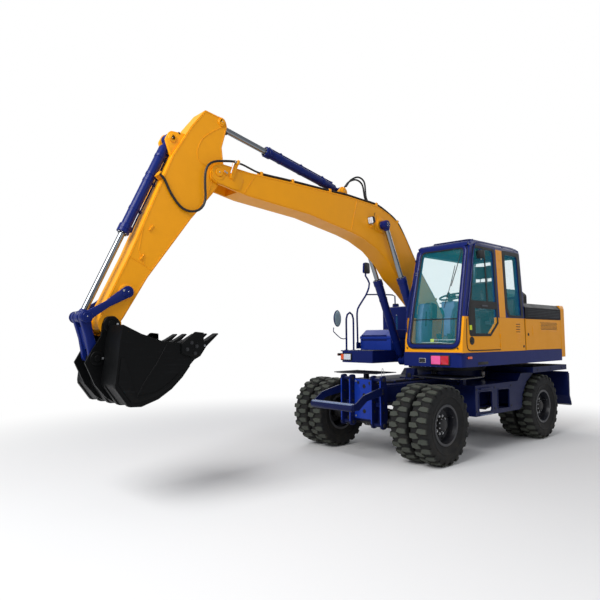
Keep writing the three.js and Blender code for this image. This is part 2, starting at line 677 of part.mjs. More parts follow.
// Door outline as [y, z]; edge moves it in on every edge.
const doorOutline = (edge) => [
  [doorFront - 32 + edge, 1502 + edge, 30], [doorRear - edge, 1502 + edge, 20],
  [doorRear - edge, 3052 - edge, 40],
  [doorFront + 285 + edge * 0.6, 3052 - edge, 60], [doorFront + 8 + edge, 1960],
];
const doorGlassOutline = (edge) => [
  [-1335 + edge, 1730 + edge, 40], [-800 - edge * 0.6, 1730 + edge, 40],
  [-590 - edge, 1900 + edge * 0.5, 40],
  [-590 - edge, 2985 - edge, 50], [-1135 + edge, 2985 - edge, 70], [-1340 + edge, 1960],
];
const quarterOutline = (edge) => [
  [-245 + edge, 2010 + edge, 50], [195 - edge, 2010 + edge, 50], [170 - edge, 2970 - edge, 60],
  [-245 + edge, 2970 - edge, 50],
];
const rightOutline = (edge) => [
  [-1340 + edge, 1980 + edge, 60], [180 - edge, 1980 + edge, 60], [160 - edge, 2960 - edge, 60],
  [-1110 + edge, 2960 - edge, 80],
];
const screenOutline = (edge) => [
  [cabInner + 88 + edge, 1580 + edge, 80], [cabSide - 96 - edge, 1580 + edge, 80],
  [cabSide - 128 - edge, 2985 - edge, 80], [cabInner + 104 + edge, 2985 - edge, 80],
];
const rearOutline = (edge) => [
  [cabInner + 110 + edge, 2330 + edge, 50], [cabSide - 120 - edge, 2330 + edge, 50],
  [cabSide - 140 - edge, 2960 - edge, 50], [cabInner + 120 + edge, 2960 - edge, 50],
];

function cabShell() {
  const hollow = cabBlock(cabWall);
  return cut(cabBlock(0), hollow,
    side(doorOutline(-doorGap), cabSide - 130, cabSide + 60),
    side(quarterOutline(0), cabSide - 130, cabSide + 60),
    side(rightOutline(0), cabInner - 60, cabInner + 110),
    front(screenOutline(0), -1700, -1050),
    front(rearOutline(0), 150, 400));
}

const doorThick = cabWall - 2;

function cabDoor() {
  const skin = cut(cabBlock(0), cabBlock(doorThick));
  return cut(skin.intersect(side(doorOutline(0), cabSide - 130, cabSide + 60)),
    side(doorGlassOutline(0), cabSide - 130, cabSide + 60));
}

// A pane that follows the cab's wall, cut to an opening.
function pane(opening, outerInset, thickness) {
  return cut(cabBlock(outerInset), cabBlock(outerInset + thickness)).intersect(opening);
}

function driverSeat() {
  const x = seatX;
  const cushion = side([[-640, 1990, 30], [-150, 1960, 30], [-150, 2090, 40], [-640, 2110, 50]], x - 235,
    x + 235);
  const back = side([[-205, 2080, 30], [-80, 2070, 30], [0, 2640, 40], [-20, 2860, 40], [-100, 2860, 40],
    [-110, 2620, 40]], x - 215, x + 215);
  return join(cushion, back);
}

const seatX = (cabInner + cabSide) / 2 - 10;

// The seat's suspension and slide, with the control boxes on both sides of it.
function seatFrame() {
  const floorTop = deckTop + gap + cabWall + gap;
  const pedestal = side([[-560, floorTop], [-190, floorTop], [-190, 1962.4 - gap], [-560, 1985.1 - gap]],
    seatX - 200, seatX + 200);
  const pods = [-1, 1].map((s) => side([[-700, 2080, 40], [-120, 2080, 30], [-120, 2200, 30],
    [-660, 2215, 50]],
    Math.min(seatX + s * 245, seatX + s * 335), Math.max(seatX + s * 245, seatX + s * 335)));
  const arms = [-1, 1].map((s) => box(Math.min(seatX + s * 180, seatX + s * 300),
    Math.max(seatX + s * 180, seatX + s * 300),
    -420, -240, 1880, 1935));
  const posts = [-1, 1].map((s) => box(Math.min(seatX + s * 262, seatX + s * 300),
    Math.max(seatX + s * 262, seatX + s * 300),
    -400, -260, 1900, 2100));
  const levers = [-1, 1].map((s) => bar([seatX + s * 290, -630, 2190], [seatX + s * 290, -650, 2350], 16,
    8, 22));
  return join(pedestal, ...pods, ...arms, ...posts, ...levers);
}

function steeringColumn() {
  const floorTop = deckTop + gap + cabWall + gap;
  const foot = side([[-1220, floorTop], [-1060, floorTop], [-1010, 2090, 20], [-1130, 2120, 20]],
    seatX - 62, seatX + 62);
  const head = side([[-1150, 2040, 20], [-985, 2020, 20], [-960, 2200, 20], [-1120, 2230, 20]], seatX - 85,
    seatX + 85);
  const shaft = bar([seatX, -1040, 2180], [seatX, -1000, 2300], 20, 10);
  const rim = new THREE.TorusGeometry(190, 14, 5, 14);
  rim.rotateX(rad(18));
  rim.translate(seatX, -1000, 2300);
  const spokes = bar([seatX - 185, -1000, 2300], [seatX + 185, -1000, 2300], 12, 6);
  return join(foot, head, shaft, solid(rim), spokes);
}

// Boom, stick and bucket, drawn in frames of their own: the foot pin at 0, the other pin along -Y. A
// point is [along from the foot pin, up from the line between the pins, corner radius].
const footPin = { y: -810, z: 1295 };
const boomRodPin = [2209, 887];
const stickCylinderBase = [3069, 1000];
const stickCylinderPin = [-553, 310];
const bucketCylinderPin = [92, 636];
const leverPin = [stickReach - 366, 52];
const leverEnd = { y: -6240, z: 1905 };
const linkPin = [134, -335];

// A point of the stick at rest, in the machine's frame.
function stickPoint(along, up) {
  const tip = {
    y: boomFoot.y - boomReach * Math.cos(rad(boomRise)),
    z: boomFoot.z + boomReach * Math.sin(rad(boomRise)),
  };
  const [c, s] = [Math.cos(rad(stickDrop)), Math.sin(rad(stickDrop))];
  return { y: tip.y - along * c - up * s, z: tip.z - along * s + up * c };
}

const armSide = (points, x0, x1, curveSegments = 2) => side(
  points.map(([along, up, radius = 0]) => [-along, up, radius]), Math.min(x0, x1), Math.max(x0, x1),
    curveSegments);
const armBar = (along, up, half, radius, segments) => crossBar(0, -along, up, half, radius, segments);
const armBore = (along, up, radius) => pinBore(0, -along, up, 300, radius);

function boomBody() {
  const t = boomReach;
  const k = kneeReach;
  const web = armSide([
    [t + 96, -30, 60], [t + 20, 116, 50], [t - 400, 258], [t - 1040, 528], [k + 920, 922],
    [k + 300, 1135], [k, 1160], [k - 230, 1142, 120], [k - 485, 1018, 100], [k - 1000, 706],
    [466, 402], [60, 150], [-120, 70, 60], [-125, -75, 60], [-10, -140], [150, -110],
    [885, 156], [k - 920, 240], [k - 545, 312], [k - 285, 432], [k + 60, 508],
    [k + 400, 505], [k + 675, 462], [t - 1450, 282], [t - 475, -33], [t - 30, -128, 50],
    [t + 60, -120],
  ], -boomHalf, boomHalf);
  const forkInner = stickHalf + runGap;
  const forkSlot = armSide([[t - 330, -400], [t + 300, -400], [t + 300, 400], [t - 330, 400]], -forkInner,
    forkInner);
  const [along, up] = stickCylinderBase;
  const baseLugs = bothSides((s) => armSide([
    [along - 150, up - 90], [along + 110, up - 120], [along + 50, up + 46, 40], [along - 50, up + 46, 40],
  ], s * 58, s * 88));
  const boss = armBar(...boomRodPin, boomHalf + 22, 78, 12);
  const hoseBracket = armSide([[t - 196, 20, 12], [t - 150, 20, 12], [t - 128, 262, 12],
    [t - 192, 262, 12]],
    boomHalf - 6, hoseStartX - hoseRadius - gap);
  const footPinBar = armBar(0, 0, boomHalf + 8 + 38 + 24, footPinRadius, 12);
  const tipPinBar = armBar(t, 0, boomHalf + 10, stickPinRadius, 12);
  return join(cut(join(web, baseLugs, boss), forkSlot, armBore(along, up, eyePinRadius)), footPinBar,
    tipPinBar,
    hoseBracket);
}

function stickBody() {
  const r = stickReach;
  const web = armSide([
    [-492, 548, 30], [-186, 560], [251, 528], [r - 720, 262], [r - 60, 150], [r + 96, 40, 60],
    [r + 80, -70, 60], [r - 128, -78], [1550, -42], [683, -62], [233, -100], [125, -98],
    [20, -95], [-90, -60], [-300, 130], [-560, 220, 60], [-625, 300, 60], [-570, 390],
  ], -stickHalf, stickHalf);
  const [along, up] = bucketCylinderPin;
  const lugs = bothSides((s) => armSide([
    [along - 190, up - 120], [along + 200, up - 140], [along + 66, up + 50, 40], [along - 50, up + 66, 50],
  ], s * 60, s * 92));
  const [sa, su] = stickCylinderPin;
  const rodSlot = armSide([[sa - 200, su - 200], [sa + 110, su - 320], [sa + 130, su + 110],
    [sa - 60, su + 300],
    [sa - 200, su + 300]], -62, 62);
  const shelf = join(
    box(hoseShelf.x - 66, hoseShelf.x - 54, -hoseShelf.along - 30, -hoseShelf.along + 30, 420,
      hoseShelf.up + 12),
    box(hoseShelf.x - 66, hoseShelf.x + 18, -hoseShelf.along - 30, -hoseShelf.along + 30, hoseShelf.up,
      hoseShelf.up + 12));
  return cut(join(web, lugs, shelf), rodSlot, armBore(...leverPin, leverPinRadius),
    armBore(r, 0, bucketPinRadius),
    armBore(0, 0, stickPinRadius), armBore(along, up, eyePinRadius));
}

const hoseShelf = { x: 136, along: 560, up: 516 };
const hoseStartX = 185;

// The hose from the boom's bracket to the stick's shelf, as points [x from the arm's middle, y, z] in
// the machine's frame.
function armHose() {
  const route = [
    [hoseStartX, -4540, 3792], [hoseStartX, -4615, 3781], [185, -4700, 3764], [185, -4790, 3743],
    [184, -4868, 3706],
    [183, -4921, 3643], [181, -4941, 3560], [179, -4942, 3480], [176, -4938, 3400], [172, -4930, 3320],
    [166, -4936, 3240], [159, -4973, 3168], [152, -5040, 3122], [147, -5120, 3108], [143, -5200, 3126],
    [140, -5268, 3176], [138, -5322, 3240], [137, -5368, 3306], [136.5, -5402, 3372],
  ];
  const below = [64, gap].map((drop) => stickPoint(hoseShelf.along, hoseShelf.up - drop));
  const points = [...route.map(([x, y, z]) => [armX + x, y, z]),
    ...below.map(({ y, z }) => [armX + hoseShelf.x, y, z])];
  return pipe(points, hoseRadius, 30, 10, 0.5);
}

const footPinRadius = 55;
const stickPinRadius = 50;
const bucketPinRadius = 40;
const leverPinRadius = 34;
const eyePinRadius = 32;

// The bucket, drawn around its pin with its mouth facing up and its teeth towards the machine.
function bucketBody() {
  const shell = [
    [-24, -12, 0], [162, -99, 0], [378, -169, 0], [564, -191, 0], [800, -215, 0], [872, -240, 0],
    [700, -415],
    [600, -530], [485, -640], [342, -727], [173, -785], [49, -780], [-93, -590, 60],
    [-66, -330], [-52, -170],
  ];
  const inner = [
    [8, -60, 0], [160, -80, 0], [378, -120, 0], [564, -150, 0], [900, -150, 0], [858, -215, 0], [690, -384],
    [584, -504], [470, -614], [332, -698], [173, -755], [64, -750], [-62, -578, 60],
    [-36, -330], [-22, -180],
  ];
  const body = side(shell, -bucketHalf, bucketHalf);
  const hollow = side(inner, -bucketHalf + bucketPlate, bucketHalf - bucketPlate);
  const earOuter = stickHalf + runGap + bucketPlate;
  const ears = bothSides((s) => side([
    [-84, 4, 60], [-54, 74, 50], [36, 84, 60], [98, 24, 60], [96, -60, 0], [-20, -120, 0], [-45, -500, 0],
    [40, -772, 0], [-36, -722], [-148, -593], [-249, -376], [-180, -250], [-96, -120],
  ], Math.min(s * (earOuter - bucketPlate), s * earOuter),
    Math.max(s * (earOuter - bucketPlate), s * earOuter)));
  const cutters = bothSides((s) => side([[590, -300, 0], [590, -200, 30], [748, -77, 30], [846, -87, 0],
    [850, -235, 0],
    [740, -350, 0]], Math.min(s * bucketHalf, s * (bucketHalf + 18)),
      Math.max(s * bucketHalf, s * (bucketHalf + 18))));
  const teeth = [];
  const toothCount = 5;
  for (let i = 0; i < toothCount; i += 1) {
    const x = -bucketHalf + 50 + (2 * bucketHalf - 100) * i / (toothCount - 1);
    teeth.push(side([[790, -322, 0], [1045, -100, 0], [1030, -92, 0], [840, -200, 0], [760, -262, 0]],
      x - 45, x + 45));
  }
  const topTube = crossBar(0, 112, -116, bucketHalf - 2, 36, 8);
  const pins = [
    crossBar(0, 0, 0, earOuter + 16, bucketPinRadius, 10),
    crossBar(0, -linkPin[0], linkPin[1], earOuter + 16, leverPinRadius, 10),
  ];
  const noseRoom = crossBar(0, 0, 0, stickHalf + runGap, 185, 10);
  return join(cut(join(cut(body, hollow), topTube), noseRoom), ears, cutters, ...teeth, ...pins);
}

// Two levers on the stick's pin, joined by that pin and by the one that the bucket cylinder pushes.
function tippingLever(reach) {
  const inner = stickHalf + runGap;
  const outer = inner + leverThick;
  const plates = bothSides((s) => armSide([
    [-62, -20, 40], [-62, 30, 40], [0, 58, 40], [reach - 60, 44, 0], [reach + 20, 60, 40],
    [reach + 64, 0, 50],
    [reach + 20, -60, 40], [reach - 60, -44, 0], [0, -58, 40],
  ], s * inner, s * outer));
  const heads = bothSides((s) => bar([s * inner, -reach, 0], [s * (outer + 12), -reach, 0], leverPinRadius,
    12));
  return join(plates, armBar(0, 0, outer + 12, leverPinRadius, 12), heads);
}

// The link from the levers down to the bucket: two arms with a web between them.
function bucketLink(reach) {
  const arms = bothSides((s) => armSide([
    [-58, 0, 50], [0, 58, 50], [reach - 40, 48, 0], [reach, 56, 40], [reach + 56, 0, 50], [reach, -56, 40],
    [reach - 40, -48, 0], [0, -58, 50],
  ], s * 62, s * 112));
  const web = armSide([[90, 22], [reach - 90, 22], [reach - 90, -22], [90, -22]], -80, 80);
  const stubs = bothSides((s) => bar([s * 62, -reach, 0], [s * (stickHalf + runGap - gap), -reach, 0],
    leverPinRadius, 12));
  return join(cut(join(arms, web), armBore(0, 0, leverPinRadius)), stubs);
}

// Hydraulic cylinders: a barrel along -Y from its eye at 0, bored for the rod.
function barrel({ start, gland, radius, rodRadius, eyeHalf, pinHalf, pinRadius }) {
  const body = join(
    armBar(0, 0, eyeHalf, pinRadius + 30, 12),
    bar([0, -20, 0], [0, -start, 0], radius * 0.62, 8),
    bar([0, -start, 0], [0, -gland, 0], radius, 12),
    bar([0, -gland + 90, 0], [0, -gland, 0], radius + 12, 12),
    armBar(0, 0, pinHalf, pinRadius, 12));
  return cut(body, bar([0, -start - 30, 0], [0, -gland - 10, 0], rodRadius + gap, 10));
}

// A rod along +Y from its eye at 0, back into its barrel.
function rod({ length, rodRadius, eyeHalf, eyeRadius, stubHalf = eyeHalf }) {
  return join(armBar(0, 0, eyeHalf, eyeRadius, 12), armBar(0, 0, stubHalf, rodRadius, 10),
    bar([0, 10, 0], [0, length, 0], rodRadius, 10));
}

const boomCylinder = { start: 130, gland: 1455, radius: 64, rodRadius: 38, eyeHalf: 38, pinHalf: 38,
  pinRadius: 38,
  length: 1420, eyeRadius: 68 };
const stickCylinder = { start: 130, gland: 1420, radius: 58, rodRadius: 38, eyeHalf: 50, pinHalf: 96,
  pinRadius: 32,
  length: 1380, eyeRadius: 62, stubHalf: 60 };
const bucketCylinder = { start: 120, gland: 1235, radius: 56, rodRadius: 34, eyeHalf: 48, pinHalf: 100,
  pinRadius: 32,
  length: 1200, eyeRadius: 58, stubHalf: 60 };
const bladeCylinder = { start: 52, gland: 410, radius: 40, rodRadius: 22, eyeHalf: 44, pinHalf: 96,
  pinRadius: 24,
  length: 376, eyeRadius: 34, stubHalf: 53 };

// Assembly
const vector = (x, y, z) => new THREE.Vector3(x, y, z);
const tiltOf = (along) => Math.atan2(-along.z, -along.y) * 180 / Math.PI;

// A group at one point, turned so that its -Y axis looks at another.
function aimed(name, parent, from, to) {
  return pivot(name, parent, from.x, from.y, from.z, tiltOf(to.clone().sub(from)));
}

function inWorld(group, along, up) {
  machine.updateMatrixWorld(true);
  return group.localToWorld(vector(0, -along, up));
}

const chassis = pivot('chassis', machine, 0, 0, 0);
add(chassis, 'chassis_frame', chassisFrame(), materials.navy);
add(chassis, 'front_mount', frontMount(), materials.navy);
add(chassis, 'slew_ring', slewRing(), materials.iron);
add(chassis, 'left_side_box', sideBox(1), materials.navy);
add(chassis, 'right_side_box', sideBox(-1), materials.navy);
add(chassis, 'front_axle', frontAxle(), materials.iron);
add(chassis, 'rear_axle', rearAxle(), materials.iron);
for (const [name, s] of [['left', 1], ['right', -1]]) {
  const steer = pivot(`${name}_kingpin`, chassis, s * kingpinX, frontAxleY, axleZ);
  addPlaced(steer, `${name}_knuckle`, knuckle(s), materials.iron);
  wheelPair(steer, `${name}_front`, s, frontAxleY);
  wheelPair(chassis, `${name}_rear`, s, rearAxleY);
}
addPlaced(pivot('steering_rod_slide', chassis, 0, tieY, tieZ), 'steering_rod', steeringRod(),
  materials.iron);

const bladeGroup = pivot('blade_pivot', chassis, 0, bladePin.y, bladePin.z);
addPlaced(bladeGroup, 'dozer_blade', dozerBlade(), materials.navy);
const bladeFrom = vector(0, bladeTop.y, bladeTop.z);
const bladeTo = vector(0, bladeEye.y, bladeEye.z);
const bladeBarrel = aimed('blade_cylinder_pivot', chassis, bladeFrom, bladeTo);
add(bladeBarrel, 'blade_cylinder', barrel(bladeCylinder), materials.navy);
add(aimed('blade_rod_slide', bladeBarrel, bladeTo, bladeTo.clone().multiplyScalar(2).sub(bladeFrom)),
  'blade_rod',
  rod(bladeCylinder), materials.chrome);

const house = pivot('house_pivot', machine, 0, 0, deckBottom);
for (const [name, body, material] of [
  ['upper_frame', upperFrame(), materials.navy],
  ['counterweight', counterweight(), materials.yellow],
  ['engine', box(...engineBox, deckTop + gap, 2050), materials.iron],
  ['engine_hood', engineHood(), materials.yellow],
  ['fuel_tank', fuelTank(), materials.navy],
  ['tool_box', toolBox(), materials.navy],
  ['front_rail', frontRail(), materials.navy],
  ['tall_rail', tallRail(), materials.navy],
  ['cab_shell', cabShell(), materials.navy],
  ['windscreen', pane(front(screenOutline(gap), -1700, -1050), 20, 6), materials.glass],
  ['rear_glass', pane(front(rearOutline(gap), 150, 400), 20, 6), materials.glass],
  ['quarter_glass', pane(side(quarterOutline(gap), cabSide - 130, cabSide + 60), 20, 6), materials.glass],
  ['right_glass', pane(side(rightOutline(gap), cabInner - 60, cabInner + 110), 20, 6), materials.glass],
  ['driver_seat', driverSeat(), materials.seat],
  ['seat_frame', seatFrame(), materials.interior],
  ['steering_column', steeringColumn(), materials.interior],
]) addPlaced(house, name, body, material);

addPlaced(pivot('tool_box_lid_hinge', house, -870, tankFront - 12, 1822), 'tool_box_lid', toolBoxLid(),
  materials.navy);
addPlaced(pivot('bonnet_hinge', house, 300, bonnetRear, hoodTop + 4), 'engine_bonnet', engineBonnet(),
  materials.black);
for (const [name, s] of [['left', 1], ['right', -1]]) {
  const hinge = pivot(`${name}_engine_door_hinge`, house, s * (houseHalf + 6), houseRear - 14 - doorGap,
    deckTop);
  addPlaced(hinge, `${name}_engine_door`, sideDoor(s), materials.yellow);
}
const cabHinge = pivot('cab_door_hinge', house, houseHalf + 12, doorRear + 4, cabFloor);
addPlaced(cabHinge, 'cab_door', cabDoor(), materials.navy);
addPlaced(cabHinge, 'door_glass', pane(side(doorGlassOutline(gap), cabSide - 130, cabSide + 60), 18, 6),
  materials.glass);

const boom = pivot('boom_pivot', house, armX, boomFoot.y, boomFoot.z, -boomRise);
add(boom, 'boom', boomBody(), materials.yellow);
const stickAt = inWorld(boom, boomReach, 0);
const stick = pivot('stick_pivot', boom, armX, stickAt.y, stickAt.z, stickDrop);
add(stick, 'stick', stickBody(), materials.yellow);
addPlaced(stick, 'arm_hose', armHose(), materials.black);
const bucketAt = inWorld(stick, stickReach, 0);
const bucket = pivot('bucket_pivot', stick, armX, bucketAt.y, bucketAt.z);
add(bucket, 'bucket', bucketBody(), materials.black);

const boomCylinders = aimed('boom_cylinder_pivot', house, vector(armX, footPin.y, footPin.z),
  inWorld(boom, ...boomRodPin));
const pairOf = (make) => join(make().translate([-cylinderX, 0, 0]), make().translate([cylinderX, 0, 0]));
add(boomCylinders, 'boom_cylinders', join(pairOf(() => barrel(boomCylinder)),
  armBar(0, 0, cylinderX + 60, boomCylinder.pinRadius, 12)), materials.navy);
const boomRods = aimed('boom_rod_slide', boomCylinders, inWorld(boom, ...boomRodPin),
  inWorld(boom, ...boomRodPin).multiplyScalar(2).sub(vector(armX, footPin.y, footPin.z)));
for (const [name, s] of [['left', 1], ['right', -1]]) {
  const stub = bar([s * (boomHalf + 22 + gap), 0, 0], [s * (cylinderX + 60), 0, 0], 40, 12);
  add(boomRods, `${name}_boom_rod`, join(rod(boomCylinder).translate([s * cylinderX, 0, 0]), stub),
    materials.chrome);
}

function linear(name, parent, from, to, settings) {
  const tube = aimed(`${name}_cylinder_pivot`, parent, from, to);
  add(tube, `${name}_cylinder`, barrel(settings), materials.navy);
  const slide = aimed(`${name}_rod_slide`, tube, to, to.clone().multiplyScalar(2).sub(from));
  add(slide, `${name}_rod`, rod(settings), materials.chrome);
}

linear('stick', boom, inWorld(boom, ...stickCylinderBase), inWorld(stick, ...stickCylinderPin),
  stickCylinder);
const leverAt = inWorld(stick, ...leverPin);
const leverTo = vector(armX, leverEnd.y, leverEnd.z);
linear('bucket', stick, inWorld(stick, ...bucketCylinderPin), leverTo, bucketCylinder);
const lever = aimed('lever_pivot', stick, leverAt, leverTo);
add(lever, 'tipping_lever', tippingLever(leverAt.distanceTo(leverTo)), materials.navy);
const linkAt = vector(armX, bucketAt.y - linkPin[0], bucketAt.z + linkPin[1]);
const link = aimed('link_pivot', bucket, linkAt, leverTo);
add(link, 'bucket_link', bucketLink(linkAt.distanceTo(leverTo)), materials.navy);

// The middle of the whole machine's box comes to x = y = 0, its wheels stand on z = 0.
machine.updateMatrixWorld(true);
const bounds = new THREE.Box3().setFromObject(machine, true);
machine.position.set(-(bounds.min.x + bounds.max.x) / 2, -(bounds.min.y + bounds.max.y) / 2, 0);

export default machine;
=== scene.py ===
import json
import math
import bmesh
import bpy
from mathutils import Matrix, Vector


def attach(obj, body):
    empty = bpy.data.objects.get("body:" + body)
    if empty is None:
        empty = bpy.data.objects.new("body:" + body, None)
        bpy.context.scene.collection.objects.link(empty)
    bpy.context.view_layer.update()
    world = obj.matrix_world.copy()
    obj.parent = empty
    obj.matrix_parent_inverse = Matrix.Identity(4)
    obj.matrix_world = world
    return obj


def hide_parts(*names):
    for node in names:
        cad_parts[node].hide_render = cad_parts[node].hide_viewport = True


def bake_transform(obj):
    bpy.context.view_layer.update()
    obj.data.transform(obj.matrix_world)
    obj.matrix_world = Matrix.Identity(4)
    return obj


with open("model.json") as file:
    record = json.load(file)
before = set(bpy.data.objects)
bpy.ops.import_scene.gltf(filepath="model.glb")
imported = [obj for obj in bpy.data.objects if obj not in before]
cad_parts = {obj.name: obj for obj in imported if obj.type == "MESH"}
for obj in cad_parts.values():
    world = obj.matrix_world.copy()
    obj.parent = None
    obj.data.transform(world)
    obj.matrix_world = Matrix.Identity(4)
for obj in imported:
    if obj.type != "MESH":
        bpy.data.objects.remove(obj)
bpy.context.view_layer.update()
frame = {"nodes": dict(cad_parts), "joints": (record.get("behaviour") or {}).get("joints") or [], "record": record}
nodes = frame["nodes"]
joints = {j["name"]: j for j in frame["joints"]}
slewPoint = joints["slew"]["pos_m"]
print("frame loaded", len(nodes), "nodes")


def at(x, y, z):
    # millimetres from the slew axis, the front towards -y and the cab's side towards +x
    return Vector((slewPoint[0] + x / 1000, slewPoint[1] + y / 1000, z / 1000))


# camera, floor and light
cameraPlan = {"x": 5257, "y": -8191, "z": 1689, "azimuth": 47.949, "elevation": -4.004, "roll": -0.318,
    "lens": 32.344}


def addCamera():
    camera = bpy.data.objects.new("camera", bpy.data.cameras.new("camera"))
    camera.data.lens = cameraPlan["lens"]
    camera.data.sensor_width = 36
    camera.data.clip_end = 200
    a, e = math.radians(cameraPlan["azimuth"]), math.radians(cameraPlan["elevation"])
    back = Vector((math.sin(a) * math.cos(e), -math.cos(a) * math.cos(e), math.sin(e)))
    right = (-back).cross(Vector((0, 0, 1))).normalized()
    up = right.cross(-back)
    turn = Matrix((right, up, back)).transposed().to_4x4()
    roll = Matrix.Rotation(math.radians(cameraPlan["roll"]), 4, "Z")
    place = at(cameraPlan["x"], cameraPlan["y"], cameraPlan["z"])
    camera.matrix_world = Matrix.Translation(place) @ turn @ roll
    bpy.context.collection.objects.link(camera)
    bpy.context.scene.camera = camera


def addLight(name, spot, aim, size, power, color=(1, 1, 1)):
    lamp = bpy.data.objects.new(name, bpy.data.lights.new(name, "AREA"))
    lamp.data.energy = power
    lamp.data.size = size
    lamp.data.color = color
    lamp.location = at(*spot)
    lamp.rotation_euler = (at(*aim) - lamp.location).to_track_quat("-Z", "Y").to_euler()
    bpy.context.collection.objects.link(lamp)


addCamera()
addLight("keyLight", (1500, -11500, 8500), (0, -1000, 1500), 6, 1150)
addLight("sideLight", (9500, -2500, 7000), (0, 0, 1500), 5, 70)
addLight("farLight", (-8000, 3500, 7500), (0, 0, 1500), 7, 260)
addLight("rearLight", (2500, 10000, 6000), (0, 1500, 1500), 6, 200)


def addWorld():
    # white for the camera, softer for the light that it casts
    world = bpy.data.worlds.new("studio")
    world.use_nodes = True
    tree = world.node_tree
    seen = tree.nodes["Background"]
    seen.inputs["Color"].default_value = (1, 1, 1, 1)
    seen.inputs["Strength"].default_value = 1.0
    cast = tree.nodes.new("ShaderNodeBackground")
    cast.inputs["Color"].default_value = (0.93, 0.95, 1, 1)
    cast.inputs["Strength"].default_value = 0.42
    path = tree.nodes.new("ShaderNodeLightPath")
    mix = tree.nodes.new("ShaderNodeMixShader")
    tree.links.new(path.outputs["Is Camera Ray"], mix.inputs["Fac"])
    tree.links.new(cast.outputs[0], mix.inputs[1])
    tree.links.new(seen.outputs[0], mix.inputs[2])
    tree.links.new(mix.outputs[0], tree.nodes["World Output"].inputs["Surface"])
    bpy.context.scene.world = world


addWorld()
bpy.context.scene.view_settings.view_transform = "Standard"


# shader groups shared by the finishes
def newGroup(name, inputs, outputs):
    group = bpy.data.node_groups.new(name, "ShaderNodeTree")
    for label, kind, value in inputs:
        socket = group.interface.new_socket(name=label, in_out="INPUT", socket_type=kind)
        socket.default_value = value
    for label, kind in outputs:
        group.interface.new_socket(name=label, in_out="OUTPUT", socket_type=kind)
    start = group.nodes.new("NodeGroupInput")
    end = group.nodes.new("NodeGroupOutput")
    return group, start, end


def put(tree, kind, settings=None, **values):
    node = tree.nodes.new(kind)
    for key, value in (settings or {}).items():
        setattr(node, key, value)
    for key, value in values.items():
        name = key.replace("_", " ")
        socket = node.inputs[int(name[1:])] if name[0] == "i" and name[1:].isdigit() else node.inputs[name]
        if hasattr(value, "is_output"):
            tree.links.new(value, socket)
        else:
            socket.default_value = value
    return node


def scaled(tree, value, factor):
    return put(tree, "ShaderNodeMath", {"operation": "MULTIPLY"}, i0=value, i1=factor).outputs[0]


def buildGrain():
    # slow colour drift and a fine bump, both in object space
    group, start, end = newGroup("paintGrain", [("Scale", "NodeSocketFloat", 6.0),
        ("Contrast", "NodeSocketFloat", 0.25), ("Fine Scale", "NodeSocketFloat", 260.0)],
        [("Mask", "NodeSocketFloat"), ("Height", "NodeSocketFloat")])
    place = put(group, "ShaderNodeTexCoord").outputs["Object"]
    slow = put(group, "ShaderNodeTexNoise", Vector=place, Scale=start.outputs["Scale"], Detail=5.0)
    low = put(group, "ShaderNodeMath", {"operation": "SUBTRACT"}, i0=0.5,
        i1=start.outputs["Contrast"]).outputs[0]
    high = put(group, "ShaderNodeMath", {"operation": "ADD"}, i0=0.5, i1=start.outputs["Contrast"]).outputs[0]
    mask = put(group, "ShaderNodeMapRange", Value=slow.outputs[0], From_Min=low, From_Max=high)
    fine = put(group, "ShaderNodeTexNoise", Vector=place, Scale=start.outputs["Fine Scale"], Detail=3.0)
    group.links.new(mask.outputs[0], end.inputs["Mask"])
    group.links.new(fine.outputs[0], end.inputs["Height"])
    return group


def buildDust():
    # dust that settles on faces that look up and on what is near the ground
    group, start, end = newGroup("settledDust", [("Top", "NodeSocketFloat", 1.2),
        ("Amount", "NodeSocketFloat", 0.2), ("Scale", "NodeSocketFloat", 9.0)], [("Mask", "NodeSocketFloat")])
    place = put(group, "ShaderNodeTexCoord").outputs["Object"]
    height = put(group, "ShaderNodeSeparateXYZ", Vector=place).outputs["Z"]
    low = put(group, "ShaderNodeMapRange", Value=height, From_Min=0.0, From_Max=start.outputs["Top"],
        To_Min=1.0, To_Max=0.0).outputs[0]
    facing = put(group, "ShaderNodeSeparateXYZ", Vector=put(group, "ShaderNodeNewGeometry").outputs["Normal"])
    above = put(group, "ShaderNodeMapRange", Value=facing.outputs["Z"], From_Min=0.35, From_Max=1.0,
        To_Min=0.0, To_Max=0.8).outputs[0]
    most = put(group, "ShaderNodeMath", {"operation": "MAXIMUM"}, i0=low, i1=above).outputs[0]
    patches = put(group, "ShaderNodeTexNoise", Vector=place, Scale=start.outputs["Scale"],
        Detail=6.0).outputs[0]
    spread = put(group, "ShaderNodeMapRange", Value=patches, From_Min=0.35, From_Max=0.75).outputs[0]
    both = put(group, "ShaderNodeMath", {"operation": "MULTIPLY"}, i0=most, i1=spread).outputs[0]
    amount = put(group, "ShaderNodeMath", {"operation": "MULTIPLY"}, i0=both,
        i1=start.outputs["Amount"]).outputs[0]
    group.links.new(amount, end.inputs["Mask"])
    return group


def buildScratches():
    # thin drawn lines, long in one direction
    group, start, end = newGroup("fineScratches", [("Scale", "NodeSocketFloat", 30.0),
        ("Amount", "NodeSocketFloat", 0.3), ("Stretch", "NodeSocketVector", (1.0, 0.08, 1.0))],
        [("Mask", "NodeSocketFloat")])
    place = put(group, "ShaderNodeTexCoord").outputs["Object"]
    drawn = put(group, "ShaderNodeVectorMath", {"operation": "MULTIPLY"}, i0=place,
        i1=start.outputs["Stretch"]).outputs[0]
    lines = put(group, "ShaderNodeTexNoise", Vector=drawn, Scale=start.outputs["Scale"], Detail=8.0,
        Roughness=0.75).outputs[0]
    thin = put(group, "ShaderNodeMapRange", Value=lines, From_Min=0.56, From_Max=0.72).outputs[0]
    amount = put(group, "ShaderNodeMath", {"operation": "MULTIPLY"}, i0=thin,
        i1=start.outputs["Amount"]).outputs[0]
    group.links.new(amount, end.inputs["Mask"])
    return group


